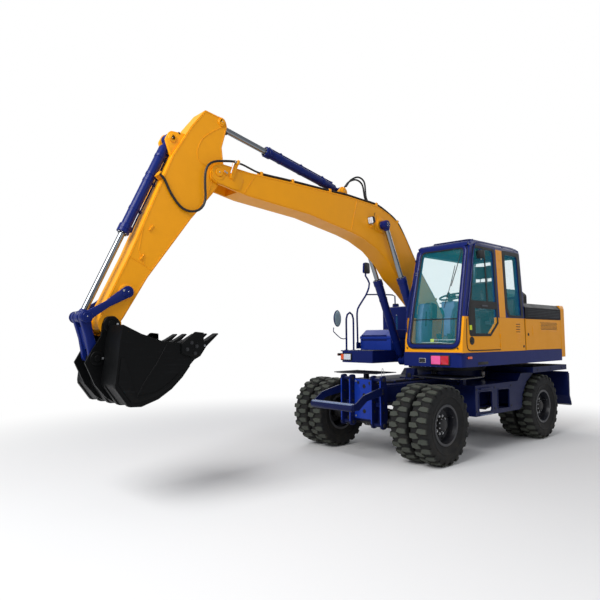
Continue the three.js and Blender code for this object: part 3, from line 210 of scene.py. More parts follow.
grainGroup, dustGroup, scratchGroup = buildGrain(), buildDust(), buildScratches()


def use(tree, group, **values):
    node = put(tree, "ShaderNodeGroup", {"node_tree": group})
    for key, value in values.items():
        node.inputs[key.replace("_", " ")].default_value = value
    return node


def mixColor(tree, mask, a, b):
    node = put(tree, "ShaderNodeMix", {"data_type": "RGBA"})
    for socket, value in ((node.inputs[0], mask), (node.inputs[6], a), (node.inputs[7], b)):
        if hasattr(value, "is_output"):
            tree.links.new(value, socket)
        else:
            socket.default_value = value
    return node.outputs[2]


def rgb(r, g, b):
    linear = [(c / 255 / 12.92 if c <= 10 else ((c / 255 + 0.055) / 1.055) ** 2.4) for c in (r, g, b)]
    return (*linear, 1)


def shade(color, factor):
    return tuple(c * factor for c in color[:3]) + (1,)


def finish(name, color, roughness=0.45, metallic=0.0, coat=0.0, drift=0.12, grainScale=5.0, fineScale=300.0,
        bump=0.0004, dust=0.12, dustTop=1.0, scratch=0.0, scratchColor=None, stretch=(1.0, 0.08, 1.0),
        twoTone=None, wornColor=None, specular=0.5):
    material = bpy.data.materials.new(name)
    material.use_nodes = True
    tree = material.node_tree
    shader = tree.nodes["Principled BSDF"]
    shader.inputs["Metallic"].default_value = metallic
    shader.inputs["Coat Weight"].default_value = coat
    shader.inputs["Coat Roughness"].default_value = 0.12
    shader.inputs["Specular IOR Level"].default_value = specular
    grain = use(tree, grainGroup, Scale=grainScale, Fine_Scale=fineScale)
    base = mixColor(tree, scaled(tree, grain.outputs["Mask"], drift), color, shade(color, 0.55))
    if twoTone:
        place = put(tree, "ShaderNodeTexCoord").outputs["Object"]
        height = put(tree, "ShaderNodeSeparateXYZ", Vector=place).outputs["Z"]
        above = put(tree, "ShaderNodeMapRange", Value=height, From_Min=twoTone[0] - 0.001,
            From_Max=twoTone[0] + 0.001)
        base = mixColor(tree, above.outputs[0], base, twoTone[1])
    if wornColor:
        worn = put(tree, "ShaderNodeAttribute", {"attribute_name": "worn"}).outputs["Fac"]
        base = mixColor(tree, worn, base, wornColor)
    if scratch:
        lines = use(tree, scratchGroup, Amount=scratch, Stretch=stretch)
        base = mixColor(tree, lines.outputs["Mask"], base, scratchColor or shade(color, 1.8))
    if dust:
        layer = use(tree, dustGroup, Amount=dust, Top=dustTop)
        base = mixColor(tree, layer.outputs["Mask"], base, rgb(128, 118, 100))
    tree.links.new(base, shader.inputs["Base Color"])
    rough = put(tree, "ShaderNodeMapRange", Value=grain.outputs["Mask"], To_Min=max(roughness - 0.04, 0.03),
        To_Max=roughness + 0.08)
    tree.links.new(rough.outputs[0], shader.inputs["Roughness"])
    relief = put(tree, "ShaderNodeBump", Height=grain.outputs["Height"], Distance=bump)
    relief.inputs["Strength"].default_value = 0.6
    tree.links.new(relief.outputs[0], shader.inputs["Normal"])
    return material


yellow, navy = rgb(242, 160, 12), rgb(12, 30, 100)
look = {"yellow": finish("yellowPaint", yellow, 0.36, coat=0.08, drift=0.1, dust=0.02, specular=0.22),
    "navy": finish("navyPaint", navy, 0.3, coat=0.08, drift=0.15, dust=0.02, specular=0.16),
    "chassis": finish("chassisPaint", rgb(10, 22, 70), 0.36, coat=0.05, drift=0.2, dust=0.04, dustTop=1.3,
    specular=0.16), "cabPaint": finish("cabPaint", yellow, 0.3, coat=0.1, drift=0.08, dust=0.02, specular=0.2,
    twoTone=(1.976, navy)), "satin": finish("satinBlack", rgb(22, 23, 27), 0.42, coat=0.15, drift=0.2,
    dust=0.08), "bucket": finish("bucketBlack", rgb(9, 10, 11), 0.42, specular=0.12, coat=0.0, drift=0.3,
    grainScale=3.0, dust=0.06, scratch=0.12, scratchColor=rgb(70, 70, 74)),
    "band": finish("hoodBand", rgb(11, 13, 18), 0.46, drift=0.1, dust=0.0, specular=0.06),
    "iron": finish("castIron", rgb(24, 25, 30), 0.55, drift=0.35, grainScale=14.0, fineScale=160.0,
    bump=0.0012, dust=0.2), "rim": finish("rimPaint", rgb(24, 27, 36), 0.4, coat=0.2, drift=0.25, dust=0.12,
    dustTop=1.1), "rubber": finish("tyreRubber", rgb(18, 19, 21), 0.72, drift=0.3, grainScale=18.0,
    fineScale=420.0, bump=0.0008, dust=0.1, dustTop=0.9, specular=0.3, wornColor=rgb(62, 66, 60)),
    "hose": finish("hoseRubber", rgb(16, 17, 19), 0.5, drift=0.2, grainScale=20.0, fineScale=500.0,
    dust=0.04), "chrome": finish("chromeRod", rgb(140, 146, 152), 0.14, metallic=1.0, drift=0.06, bump=0.0001,
    dust=0.0, scratch=0.15, scratchColor=rgb(150, 155, 160)), "steel": finish("bareSteel", rgb(165, 168, 172),
    0.32, metallic=1.0, drift=0.3, grainScale=20.0, dust=0.05, scratch=0.4, scratchColor=rgb(105, 105, 108)),
    "zinc": finish("zincBolt", rgb(188, 190, 192), 0.35, metallic=0.9, drift=0.25, grainScale=40.0,
    dust=0.06), "plastic": finish("blackPlastic", rgb(20, 21, 23), 0.55, drift=0.15, fineScale=700.0,
    bump=0.0006, dust=0.04), "seal": finish("rubberSeal", rgb(12, 13, 15), 0.6, drift=0.1, dust=0.03),
    "console": finish("consolePlastic", rgb(84, 106, 148), 0.5, drift=0.1, fineScale=800.0, bump=0.0008,
    dust=0.02), "trim": finish("trimGrey", rgb(70, 74, 82), 0.6, drift=0.1, fineScale=800.0, bump=0.0008,
    dust=0.02), "plate": finish("blankPlate", rgb(205, 207, 208), 0.35, metallic=0.3, drift=0.15, dust=0.03),
    "yellowSticker": finish("yellowTag", rgb(214, 232, 30), 0.5, drift=0.05, dust=0.0),}


def lampFinish(name, color, glow, roughness=0.15):
    material = finish(name, color, roughness, coat=0.6, drift=0.15, grainScale=60.0, fineScale=220.0,
        bump=0.0015, dust=0.02)
    shader = material.node_tree.nodes["Principled BSDF"]
    shader.inputs["Emission Color"].default_value = color
    shader.inputs["Emission Strength"].default_value = glow
    return material


def glassFinish(name, tint, alpha, roughness=0.03, glow=0.3):
    material = bpy.data.materials.new(name)
    material.use_nodes = True
    tree = material.node_tree
    shader = tree.nodes["Principled BSDF"]
    shader.inputs["IOR"].default_value = 1.45
    grain = use(tree, grainGroup, Scale=2.0, Fine_Scale=40.0)
    tree.links.new(mixColor(tree, scaled(tree, grain.outputs["Mask"], 0.25), tint, shade(tint, 0.75)),
        shader.inputs["Base Color"])
    rough = put(tree, "ShaderNodeMapRange", Value=grain.outputs["Mask"], To_Min=roughness,
        To_Max=roughness + 0.03)
    tree.links.new(rough.outputs[0], shader.inputs["Roughness"])
    shader.inputs["Alpha"].default_value = alpha
    shader.inputs["Coat Weight"].default_value = 0.5
    # painted reflection: the glass glows a faint cyan of its own, standing in for the light it would reflect
    shader.inputs["Emission Color"].default_value = (0.06, 0.8, 1, 1)
    shader.inputs["Emission Strength"].default_value = glow
    return material


look.update({"glass": glassFinish("cabGlass", rgb(50, 170, 180), 0.08),
    "mirror": finish("mirrorFace", rgb(186, 222, 228), 0.1, metallic=0.25, drift=0.05, bump=0.00005,
    dust=0.0), "white": lampFinish("whiteLens", rgb(214, 222, 232), 0.1),
    "orange": lampFinish("orangeLens", rgb(226, 84, 22), 0.15), "red": lampFinish("redLens", rgb(186, 20, 44),
    0.12), "pink": lampFinish("palePinkLens", rgb(226, 84, 150), 0.16),})


def clothFinish(name, color, weave=900.0):
    material = finish(name, color, 0.85, drift=0.25, grainScale=10.0, fineScale=weave, bump=0.0015, dust=0.03)
    material.node_tree.nodes["Principled BSDF"].inputs["Sheen Weight"].default_value = 0.3
    return material


look["fabric"] = clothFinish("seatFabric", rgb(34, 42, 58))
print("finishes made", len(look))


# mesh helpers
def rounded(points, steps=4):
    # corners given as (a, b, radius) become arcs
    result = []
    count = len(points)
    for i, point in enumerate(points):
        here = Vector(point[:2])
        radius = point[2] if len(point) > 2 else 0
        if not radius:
            result.append((here.x, here.y))
            continue
        before = Vector(points[i - 1][:2]) - here
        after = Vector(points[(i + 1) % count][:2]) - here
        half = before.angle(after) / 2
        reach = min(radius / math.tan(half), before.length * 0.48, after.length * 0.48)
        start, end = here + before.normalized() * reach, here + after.normalized() * reach
        for k in range(steps + 1):
            t = k / steps
            spot = start * (1 - t) ** 2 + here * 2 * t * (1 - t) + end * t ** 2
            result.append((spot.x, spot.y))
    return result


def oblong(a0, b0, a1, b1, radius, steps=4):
    # a rectangle with rounded corners
    return rounded([(a0, b0, radius), (a1, b0, radius), (a1, b1, radius), (a0, b1, radius)], steps)


def shiftBy(x, y, z):
    return Matrix.Translation((x, y, z))


def capLine(radius, shoulder, height, top):
    # the profile of a flat cap with a sloping edge
    return [(0, 0), (0, radius), (shoulder, radius), (height, top), (height, 0)]


def smoothPath(points, steps=6):
    # a Catmull-Rom curve through the points
    points = [Vector(p) for p in points]
    full = [points[0] * 2 - points[1], *points, points[-1] * 2 - points[-2]]
    result = []
    for i in range(1, len(full) - 2):
        p0, p1, p2, p3 = full[i - 1:i + 3]
        for k in range(steps):
            t = k / steps
            result.append(0.5 * ((2 * p1) + (p2 - p0) * t + (2 * p0 - 5 * p1 + 4 * p2 - p3) * t ** 2
                + (3 * p1 - p0 - 3 * p2 + p3) * t ** 3))
    result.append(points[-1])
    return result


class Maker:
    # gathers forms of several finishes into one mesh that rides on one body
    def __init__(self, name):
        self.name = name
        self.form = bmesh.new()
        self.finishes = []

    def add(self, part, finishName, smooth=True, place=None):
        if look[finishName] not in self.finishes:
            self.finishes.append(look[finishName])
        index = self.finishes.index(look[finishName])
        if place is not None:
            part.transform(place)
        for face in part.faces:
            face.material_index = index
            face.smooth = smooth
        mesh = bpy.data.meshes.new("part")
        part.to_mesh(mesh)
        part.free()
        self.form.from_mesh(mesh)
        bpy.data.meshes.remove(mesh)

    def addMesh(self, mesh, finishName, place=None):
        part = bmesh.new()
        part.from_mesh(mesh)
        self.add(part, finishName, place=place)

    def prism(self, axis, outline, low, high, finishName, bevel=0.0, steps=2, place=None):
        # an outline in the two other axes, made solid along one axis
        part = bmesh.new()
        order = {"x": lambda a, b, c: (c, a, b), "y": lambda a, b, c: (a, c, b), "z": lambda a, b,
            c: (a, b, c)}[axis]
        rings = [[part.verts.new(order(a, b, c)) for a, b in outline] for c in (low, high)]
        part.faces.new(rings[0])
        part.faces.new(rings[1])
        count = len(outline)
        for i in range(count):
            part.faces.new((rings[0][i], rings[0][(i + 1) % count], rings[1][(i + 1) % count], rings[1][i]))
        bmesh.ops.recalc_face_normals(part, faces=part.faces)
        if bevel:
            sharp = [e for e in part.edges if e.calc_face_angle(0) > 0.5]
            bmesh.ops.bevel(part, geom=sharp, offset=bevel, segments=steps, profile=0.5, affect="EDGES",
                clamp_overlap=True)
        self.add(part, finishName, place=place)

    def block(self, low, high, finishName, bevel=0.004, steps=2, place=None):
        outline = [(low[0], low[1]), (high[0], low[1]), (high[0], high[1]), (low[0], high[1])]
        self.prism("z", outline, low[2], high[2], finishName, bevel, steps, place)

    def turned(self, profile, start, direction, finishName, segments=48, place=None):
        # a profile of (distance along, radius), turned about a line from start
        part = bmesh.new()
        aim = Vector(direction).normalized()
        turn = aim.to_track_quat("Z", "Y").to_matrix()
        rings = []
        for along, radius in profile:
            if radius < 1e-6:
                rings.append([part.verts.new(Vector(start) + aim * along)])
                continue
            rings.append([part.verts.new(Vector(start) + turn @ Vector((radius
                * math.cos(2 * math.pi * i / segments), radius * math.sin(2 * math.pi * i / segments),
                along))) for i in range(segments)])
        for a, b in zip(rings, rings[1:]):
            for i in range(segments):
                j = (i + 1) % segments
                if len(a) == 1 and len(b) == 1:
                    continue
                if len(a) == 1:
                    part.faces.new((a[0], b[j], b[i]))
                elif len(b) == 1:
                    part.faces.new((a[i], a[j], b[0]))
                else:
                    part.faces.new((a[i], a[j], b[j], b[i]))
        for ring in (rings[0], rings[-1]):
            if len(ring) > 1 and profile[0] != profile[-1]:
                part.faces.new(ring)
        bmesh.ops.remove_doubles(part, verts=part.verts, dist=1e-6)
        bmesh.ops.recalc_face_normals(part, faces=part.faces)
        self.add(part, finishName, place=place)

    def rod(self, start, end, radius, finishName, segments=24, bevel=0.0, place=None):
        start, end = Vector(start), Vector(end)
        length = (end - start).length
        edge = min(bevel, radius * 0.4, length * 0.3)
        profile = [(0, 0), (0, radius - edge), (edge, radius), (length - edge, radius),
            (length, radius - edge), (length, 0)]
        if not edge:
            profile = [(0, 0), (0, radius), (length, radius), (length, 0)]
        self.turned(profile, start, end - start, finishName, segments, place)

    def tube(self, points, radius, finishName, sides=12, steps=6, closed=False, place=None):
        path = [Vector(p) for p in points] if steps < 2 else smoothPath(points, steps)
        if closed:
            path = path[:-1] if (path[0] - path[-1]).length < 1e-6 else path
        part = bmesh.new()
        count = len(path)
        rings = []
        side = None
        for i, spot in enumerate(path):
            ahead = path[(i + 1) % count] if closed else path[min(i + 1, count - 1)]
            behind = path[i - 1] if closed else path[max(i - 1, 0)]
            run = (ahead - behind).normalized()
            if side is None:
                side = run.orthogonal().normalized()
            side = (side - run * side.dot(run)).normalized()
            other = run.cross(side)
            rings.append([part.verts.new(spot + side * (radius * math.cos(2 * math.pi * k / sides)) + other
                * (radius * math.sin(2 * math.pi * k / sides))) for k in range(sides)])
        pairs = list(zip(rings, rings[1:])) + ([(rings[-1], rings[0])] if closed else [])
        for a, b in pairs:
            for k in range(sides):
                part.faces.new((a[k], a[(k + 1) % sides], b[(k + 1) % sides], b[k]))
        if not closed:
            part.faces.new(rings[0])
            part.faces.new(rings[-1])
        bmesh.ops.recalc_face_normals(part, faces=part.faces)
        self.add(part, finishName, place=place)

    def plate(self, corners, thickness, finishName, place=None):
        # a flat or slightly curved sheet of quads from a grid of corners, with a thickness
        part = bmesh.new()
        rows = [[part.verts.new(c) for c in row] for row in corners]
        for a, b in zip(rows, rows[1:]):
            for i in range(len(a) - 1):
                part.faces.new((a[i], a[i + 1], b[i + 1], b[i]))
        bmesh.ops.recalc_face_normals(part, faces=part.faces)
        bmesh.ops.solidify(part, geom=part.faces[:], thickness=thickness)
        bmesh.ops.recalc_face_normals(part, faces=part.faces)
        self.add(part, finishName, place=place)

    def done(self, body, replaces=(), angle=32, place=None):
        if place is not None:
            self.form.transform(place)
        mesh = bpy.data.meshes.new(self.name)
        self.form.to_mesh(mesh)
        self.form.free()
        for material in self.finishes:
            mesh.materials.append(material)
        mesh.shade_smooth()
        mesh.set_sharp_from_angle(angle=math.radians(angle))
        piece = bpy.data.objects.new(self.name, mesh)
        bpy.context.collection.objects.link(piece)
        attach(piece, body)
        if replaces:
            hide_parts(*replaces)
        return piece


def bakeModifiers(piece):
    # the evaluated shape as a plain mesh
    evaluated = piece.evaluated_get(bpy.context.evaluated_depsgraph_get())
    mesh = bpy.data.meshes.new_from_object(evaluated)
    piece.modifiers.clear()
    return mesh


def softened(node, finishName, bevel=0.006, steps=2, angle=28, body=None):
    # the same plate or casting with its edges rounded as a real one's are
    source = nodes[node]
    mesh = source.data.copy()
    form = bmesh.new()
    form.from_mesh(mesh)
    bmesh.ops.remove_doubles(form, verts=form.verts, dist=1e-5)
    bmesh.ops.dissolve_limit(form, angle_limit=math.radians(0.6), verts=form.verts, edges=form.edges)
    form.to_mesh(mesh)
    form.free()
    mesh.name = node + "_soft"
    piece = bpy.data.objects.new(node + "_soft", mesh)
    bpy.context.collection.objects.link(piece)
    mesh.shade_smooth()
    edge = piece.modifiers.new("edge", "BEVEL")
    edge.width = bevel
    edge.segments = steps
    edge.limit_method = "ANGLE"
    edge.angle_limit = math.radians(angle)
    piece.modifiers.new("flats", "WEIGHTED_NORMAL").weight = 90
    baked = bakeModifiers(piece)
    piece.data = baked
    baked.materials.clear()
    baked.materials.append(look[finishName])
    for polygon in baked.polygons:
        polygon.material_index = 0
    owner = body or next(b for b, members in frame["record"]["behaviour"]["bodies"].items()
        if node in members)
    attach(piece, owner)
    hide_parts(node)
    return piece


# geometry nodes: one piece repeated along a step or a turn, and bolts set on marked points
def setInput(modifier, tree, label, value):
    item = next(i for i in tree.interface.items_tree if i.item_type == "SOCKET" and i.name == label)
    modifier[item.identifier] = value


def repeatTree():
    tree = bpy.data.node_groups.new("repeatPiece", "GeometryNodeTree")
    for label, kind in (("Geometry", "NodeSocketGeometry"), ("Count", "NodeSocketInt"),
            ("Step", "NodeSocketVector"), ("Turn", "NodeSocketVector"), ("Piece", "NodeSocketObject"),
            ("Finish", "NodeSocketMaterial")):
        tree.interface.new_socket(name=label, in_out="INPUT", socket_type=kind)
    tree.interface.new_socket(name="Geometry", in_out="OUTPUT", socket_type="NodeSocketGeometry")
    start = tree.nodes.new("NodeGroupInput")
    end = tree.nodes.new("NodeGroupOutput")
    index = tree.nodes.new("GeometryNodeInputIndex").outputs[0]
    place = put(tree, "ShaderNodeVectorMath", {"operation": "SCALE"}, i0=start.outputs["Step"],
        Scale=index).outputs[0]
    turn = put(tree, "ShaderNodeVectorMath", {"operation": "SCALE"}, i0=start.outputs["Turn"],
        Scale=index).outputs[0]
    spots = put(tree, "GeometryNodePoints", Count=start.outputs["Count"], Position=place).outputs[0]
    source = put(tree, "GeometryNodeObjectInfo", Object=start.outputs["Piece"]).outputs["Geometry"]
    copies = put(tree, "GeometryNodeInstanceOnPoints", Points=spots, Instance=source,
        Rotation=turn).outputs[0]
    real = put(tree, "GeometryNodeRealizeInstances", Geometry=copies).outputs[0]
    painted = put(tree, "GeometryNodeSetMaterial", Geometry=real, Material=start.outputs["Finish"]).outputs[0]
    tree.links.new(painted, end.inputs[0])
    return tree


def studTree():
    tree = bpy.data.node_groups.new("hexStuds", "GeometryNodeTree")
    for label, kind in (("Geometry", "NodeSocketGeometry"), ("Radius", "NodeSocketFloat"),
            ("Height", "NodeSocketFloat"), ("Finish", "NodeSocketMaterial")):
        tree.interface.new_socket(name=label, in_out="INPUT", socket_type=kind)
    tree.interface.new_socket(name="Geometry", in_out="OUTPUT", socket_type="NodeSocketGeometry")
    start = tree.nodes.new("NodeGroupInput")
    end = tree.nodes.new("NodeGroupOutput")
    facing = put(tree, "GeometryNodeInputNamedAttribute", {"data_type": "FLOAT_VECTOR"},
        Name="facing").outputs[0]
    turn = put(tree, "FunctionNodeAlignRotationToVector", {"axis": "Z"}, Vector=facing).outputs[0]
    spots = put(tree, "GeometryNodeMeshToPoints", Mesh=start.outputs["Geometry"]).outputs[0]
    head = put(tree, "GeometryNodeMeshCylinder", Vertices=6, Radius=start.outputs["Radius"],
        Depth=start.outputs["Height"])
    washer = put(tree, "GeometryNodeMeshCylinder", Vertices=16, Radius=scaled(tree, start.outputs["Radius"],
        1.35), Depth=scaled(tree, start.outputs["Height"], 0.3))
    both = tree.nodes.new("GeometryNodeJoinGeometry")
    tree.links.new(washer.outputs["Mesh"], both.inputs[0])
    tree.links.new(head.outputs["Mesh"], both.inputs[0])
    copies = put(tree, "GeometryNodeInstanceOnPoints", Points=spots, Instance=both.outputs[0],
        Rotation=turn).outputs[0]
    real = put(tree, "GeometryNodeRealizeInstances", Geometry=copies).outputs[0]
    painted = put(tree, "GeometryNodeSetMaterial", Geometry=real, Material=start.outputs["Finish"]).outputs[0]
    tree.links.new(painted, end.inputs[0])
    return tree


repeater, studder = repeatTree(), studTree()


def repeated(pieceMesh, count, step=(0, 0, 0), turn=(0, 0, 0), finishName="satin"):
    source = bpy.data.objects.new("source", pieceMesh)
    holder = bpy.data.objects.new("holder", bpy.data.meshes.new("holder"))
    for item in (source, holder):
        bpy.context.collection.objects.link(item)
    modifier = holder.modifiers.new("repeat", "NODES")
    modifier.node_group = repeater
    for label, value in (("Count", count), ("Step", step), ("Turn", turn), ("Piece", source),
            ("Finish", look[finishName])):
        setInput(modifier, repeater, label, value)
    mesh = bakeModifiers(holder)
    bpy.data.objects.remove(holder)
    bpy.data.objects.remove(source)
    return mesh


def studs(spots, radius, height, finishName="zinc"):
    # spots are (position, outward direction)
    mesh = bpy.data.meshes.new("spots")
    mesh.from_pydata([tuple(Vector(p) + Vector(d).normalized() * height * 0.35) for p, d in spots], [], [])
    facing = mesh.attributes.new("facing", "FLOAT_VECTOR", "POINT")
    for i, (_, direction) in enumerate(spots):
        facing.data[i].vector = Vector(direction).normalized()
    holder = bpy.data.objects.new("holder", mesh)
    bpy.context.collection.objects.link(holder)
    modifier = holder.modifiers.new("studs", "NODES")
    modifier.node_group = studder
    for label, value in (("Radius", radius), ("Height", height), ("Finish", look[finishName])):
        setInput(modifier, studder, label, value)
    baked = bakeModifiers(holder)
    bpy.data.objects.remove(holder)
    return baked


def meshOf(make):
    # runs a drawing function on an empty maker and gives the plain mesh
    maker = Maker("form")
    make(maker)
    mesh = bpy.data.meshes.new("form")
    maker.form.to_mesh(mesh)
    maker.form.free()
    return mesh


# wheels
tyrePlan = {"radius": 0.5275, "half": 0.1375, "bead": 0.254, "beadHalf": 0.094, "lugs": 23, "lugDepth": 0.026,
    "outerX": 1108, "spacing": 318, "frontY": -1957, "rearY": 921, "axleZ": 527.5}


def lugMesh(side):
    # one tread block: a wide shoulder block that narrows towards the middle and turns over the shoulder
    top, low = tyrePlan["radius"] - 0.0005, tyrePlan["radius"] - tyrePlan["lugDepth"] - 0.008
    half = tyrePlan["half"]
    outline = [(-0.012, -0.020), (0.052, -0.036), (half - 0.014, -0.031), (half - 0.014, 0.020),
        (0.060, 0.030), (0.012, 0.022)]
    part = bmesh.new()
    worn = part.verts.layers.float.new("worn")

    def ring(radius, grow, shoulder):
        made = []
        for x, y in outline:
            out = x > half - 0.02
            reach = (x + (shoulder if out else 0)) * side
            vert = part.verts.new((reach, (y + math.copysign(grow, y)) * 1.0,
                math.sqrt(max(radius ** 2 - y ** 2, 0)) - (0.010 if out and shoulder == 0 else 0)))
            made.append(vert)
        return made
    topRing, lowRing = ring(top, 0, 0), ring(low, 0.007, 0.010)
    for vert in topRing:
        vert[worn] = 1.0
    part.faces.new(topRing)
    for i in range(len(outline)):
        j = (i + 1) % len(outline)
        part.faces.new((topRing[i], topRing[j], lowRing[j], lowRing[i]))
    flank = [i for i, (x, y) in enumerate(outline) if x > half - 0.02]
    a, b = lowRing[flank[0]], lowRing[flank[1]]
    foot = [part.verts.new((half * side * 1.0, v.co.y * 0.8, v.co.z - 0.055)) for v in (a, b)]
    back = [part.verts.new(((half - 0.022) * side, v.co.y * 0.8, v.co.z - 0.05)) for v in (a, b)]
    part.faces.new((a, b, foot[1], foot[0]))
    part.faces.new((foot[0], foot[1], back[1], back[0]))
    bmesh.ops.recalc_face_normals(part, faces=part.faces)
    mesh = bpy.data.meshes.new("lug")
    part.to_mesh(mesh)
    part.free()
    return mesh


def tyreMesh():
    r, h, b = tyrePlan["radius"] - tyrePlan["lugDepth"], tyrePlan["half"], tyrePlan["bead"]
    profile = [(-tyrePlan["beadHalf"], b + 0.004), (-tyrePlan["beadHalf"] - 0.004, b + 0.03),
        (-h + 0.022, b + 0.075), (-h + 0.006, b + 0.125), (-h + 0.003, r - 0.10), (-h + 0.004, r - 0.055),
        (-h + 0.008, r - 0.028), (-h + 0.030, r - 0.008), (-0.05, r), (0.05, r)]
    mirrored = [(-x, radius) for x, radius in reversed(profile)]
    full = profile + mirrored[1:]
    rim = [(h - 0.0015, b + 0.118), (h - 0.0005, b + 0.123), (h - 0.0015, b + 0.128)]

    def draw(maker):
        loop = [*full, full[0]]
        maker.turned(loop, (0, 0, 0), (1, 0, 0), "rubber", segments=96)
        for side in (-1, 1):
            bead = [(h - 0.01, b + 0.112), *rim, (h - 0.01, b + 0.134), (h - 0.01, b + 0.112)]
            maker.turned([(x * side, radius) for x, radius in bead], (0, 0, 0), (1, 0, 0), "rubber",
                segments=96)
    mesh = meshOf(draw)
    form = bmesh.new()
    form.from_mesh(mesh)
    form.verts.layers.float.new("worn")
    pitch = 2 * math.pi / tyrePlan["lugs"]
    for side in (-1, 1):
        lugs = repeated(lugMesh(side), tyrePlan["lugs"], turn=(pitch, 0, 0), finishName="rubber")
        lugs.transform(Matrix.Rotation(pitch / 2 if side > 0 else 0, 4, "X"))
        form.from_mesh(lugs)
    form.to_mesh(mesh)
    form.free()
    return mesh


rimPlan = {"bolts": 10, "boltCircle": 0.118, "nutRadius": 0.014, "holes": 8}


def rimForm(maker):
    bead, lip, inner = tyrePlan["bead"], 0.0943, -tyrePlan["spacing"] / 1000
    for middle, sign in ((0, 1), (inner, -1)):
        # each rim's edge turns out over the tyre's bead
        edge = [(middle + sign * (lip - 0.045), bead - 0.018), (middle + sign * lip, bead - 0.010),
            (middle + sign * (lip + 0.001), bead + 0.016), (middle + sign * (lip + 0.006), bead + 0.020),
            (middle + sign * (lip + 0.011), bead + 0.015), (middle + sign * (lip + 0.009), bead - 0.014),
            (middle + sign * (lip - 0.04), bead - 0.026), (middle + sign * (lip - 0.045), bead - 0.018)]
        maker.turned(edge, (0, 0, 0), (1, 0, 0), "rim", segments=72)
    barrel = [(inner - lip + 0.04, bead - 0.018), (lip - 0.04, bead - 0.018), (lip - 0.04, bead - 0.027),
        (-0.018, bead - 0.034), (-0.030, 0.185), (-0.032, 0.150), (0.0, 0.132), (0.0, 0.085), (-0.045, 0.085),
        (-0.045, 0.18), (-0.050, bead - 0.034), (inner - lip + 0.04, bead - 0.030),
        (inner - lip + 0.04, bead - 0.018)]
    maker.turned(barrel, (0, 0, 0), (1, 0, 0), "rim", segments=72)
    hub = [(-0.02, 0.095), (0.020, 0.095), (0.034, 0.092), (0.060, 0.078), (0.066, 0.072), (0.074, 0.050),
        (0.078, 0.040), (0.078, 0.0)]
    maker.turned(hub, (0, 0, 0), (1, 0, 0), "iron", segments=48)
    maker.turned([(inner + 0.055, 0.0), (inner + 0.055, 0.165), (inner + 0.25, 0.160), (inner + 0.25, 0.0)],
        (0, 0, 0), (1, 0, 0), "iron", segments=48)
    spots = []
    for i in range(rimPlan["bolts"]):
        a = 2 * math.pi * i / rimPlan["bolts"]
        spots.append(((0.002, rimPlan["boltCircle"] * math.cos(a), rimPlan["boltCircle"] * math.sin(a)),
            (1, 0, 0)))
    maker.addMesh(studs(spots, rimPlan["nutRadius"], 0.024), "zinc")
    caps = []
    for i in range(8):
        a = 2 * math.pi * (i + 0.5) / 8
        caps.append(((0.046, 0.084 * math.cos(a), 0.084 * math.sin(a)),
            (0.75, 0.4 * math.cos(a), 0.4 * math.sin(a))))
    maker.addMesh(studs(caps, 0.007, 0.008), "zinc")
    hole = []
    for i in range(rimPlan["holes"]):
        a = 2 * math.pi * (i + 0.5) / rimPlan["holes"]
        spot = Vector((-0.022, 0.205 * math.cos(a), 0.205 * math.sin(a)))
        hole.append(spot)
    for spot in hole:
        maker.turned([(0, 0), (0, 0.016), (0.006, 0.019), (0.007, 0.0145), (0.002, 0.0135), (0.002, 0)], spot,
            (1, 0, 0), "seal", segments=16)
    valve = Vector((0.03, 0.2, 0.09))
    maker.tube([valve + Vector((-0.05, 0.005, 0)), valve, valve + Vector((0.05, -0.012, -0.004))], 0.004,
        "steel", 8)


def buildWheels():
    oneTyre = tyreMesh()
    for side, sign in (("left", 1), ("right", -1)):
        for end, y in (("front", tyrePlan["frontY"]), ("rear", tyrePlan["rearY"])):
            body = f"{side}_{end}_wheel"
            turn = Matrix.Identity(4) if sign > 0 else Matrix.Rotation(math.pi, 4, "Z")
            for which, shift in (("outer", 0), ("inner", -tyrePlan["spacing"])):
                middle = at(sign * (tyrePlan["outerX"] + shift), y, tyrePlan["axleZ"])
                spin = Matrix.Rotation(0.11 * (1 if which == "outer" else -1)
                    + (0.05 if end == "rear" else 0), 4, "X")
                tyre = Maker(f"{side}_{end}_{which}_tread")
                tyre.addMesh(oneTyre, "rubber", Matrix.Translation(middle) @ turn @ spin)
                tyre.done(body, (f"{side}_{end}_{which}_tyre",), angle=28)
            rim = Maker(f"{side}_{end}_rims")
            rimForm(rim)
            rim.form.transform(Matrix.Translation(at(sign * tyrePlan["outerX"], y, tyrePlan["axleZ"])) @ turn)
            rim.done(body, (f"{side}_{end}_twin_wheel",))
    print("wheels made")


buildWheels()

# drawing frames: lengths in millimetres, from the slew axis or from a pin with -y along the arm
ownerOf = {node: body for body, members in frame["record"]["behaviour"]["bodies"].items() for node in members}
slewFrame = Matrix.Translation(at(0, 0, 0)) @ Matrix.Scale(0.001, 4)


def pinFrame(joint, tilt=0.0):
    return (Matrix.Translation(joints[joint]["pos_m"]) @ Matrix.Rotation(math.radians(tilt), 4,
        "X") @ Matrix.Scale(0.001, 4))


def slideTilt(slide):
    _, y, z = joints[slide]["axis"]
    return math.degrees(math.atan2(-z, -y))


def arm(x, along, up):
    return Vector((x, -along, up))


def armOutline(points, steps=5):
    return rounded([(-p[0], p[1], *p[2:]) for p in points], steps)


boomFrame = pinFrame("boom_lift", -21.87)
stickFrame = pinFrame("stick_swing", 55.02)
bucketFrame = pinFrame("bucket_curl")
leverEnd = Vector((joints["stick_swing"]["pos_m"][0], *at(0, -6240, 1905)[1:]))


def tiltTo(joint, target):
    run = target - Vector(joints[joint]["pos_m"])
    return math.degrees(math.atan2(-run.z, -run.y))


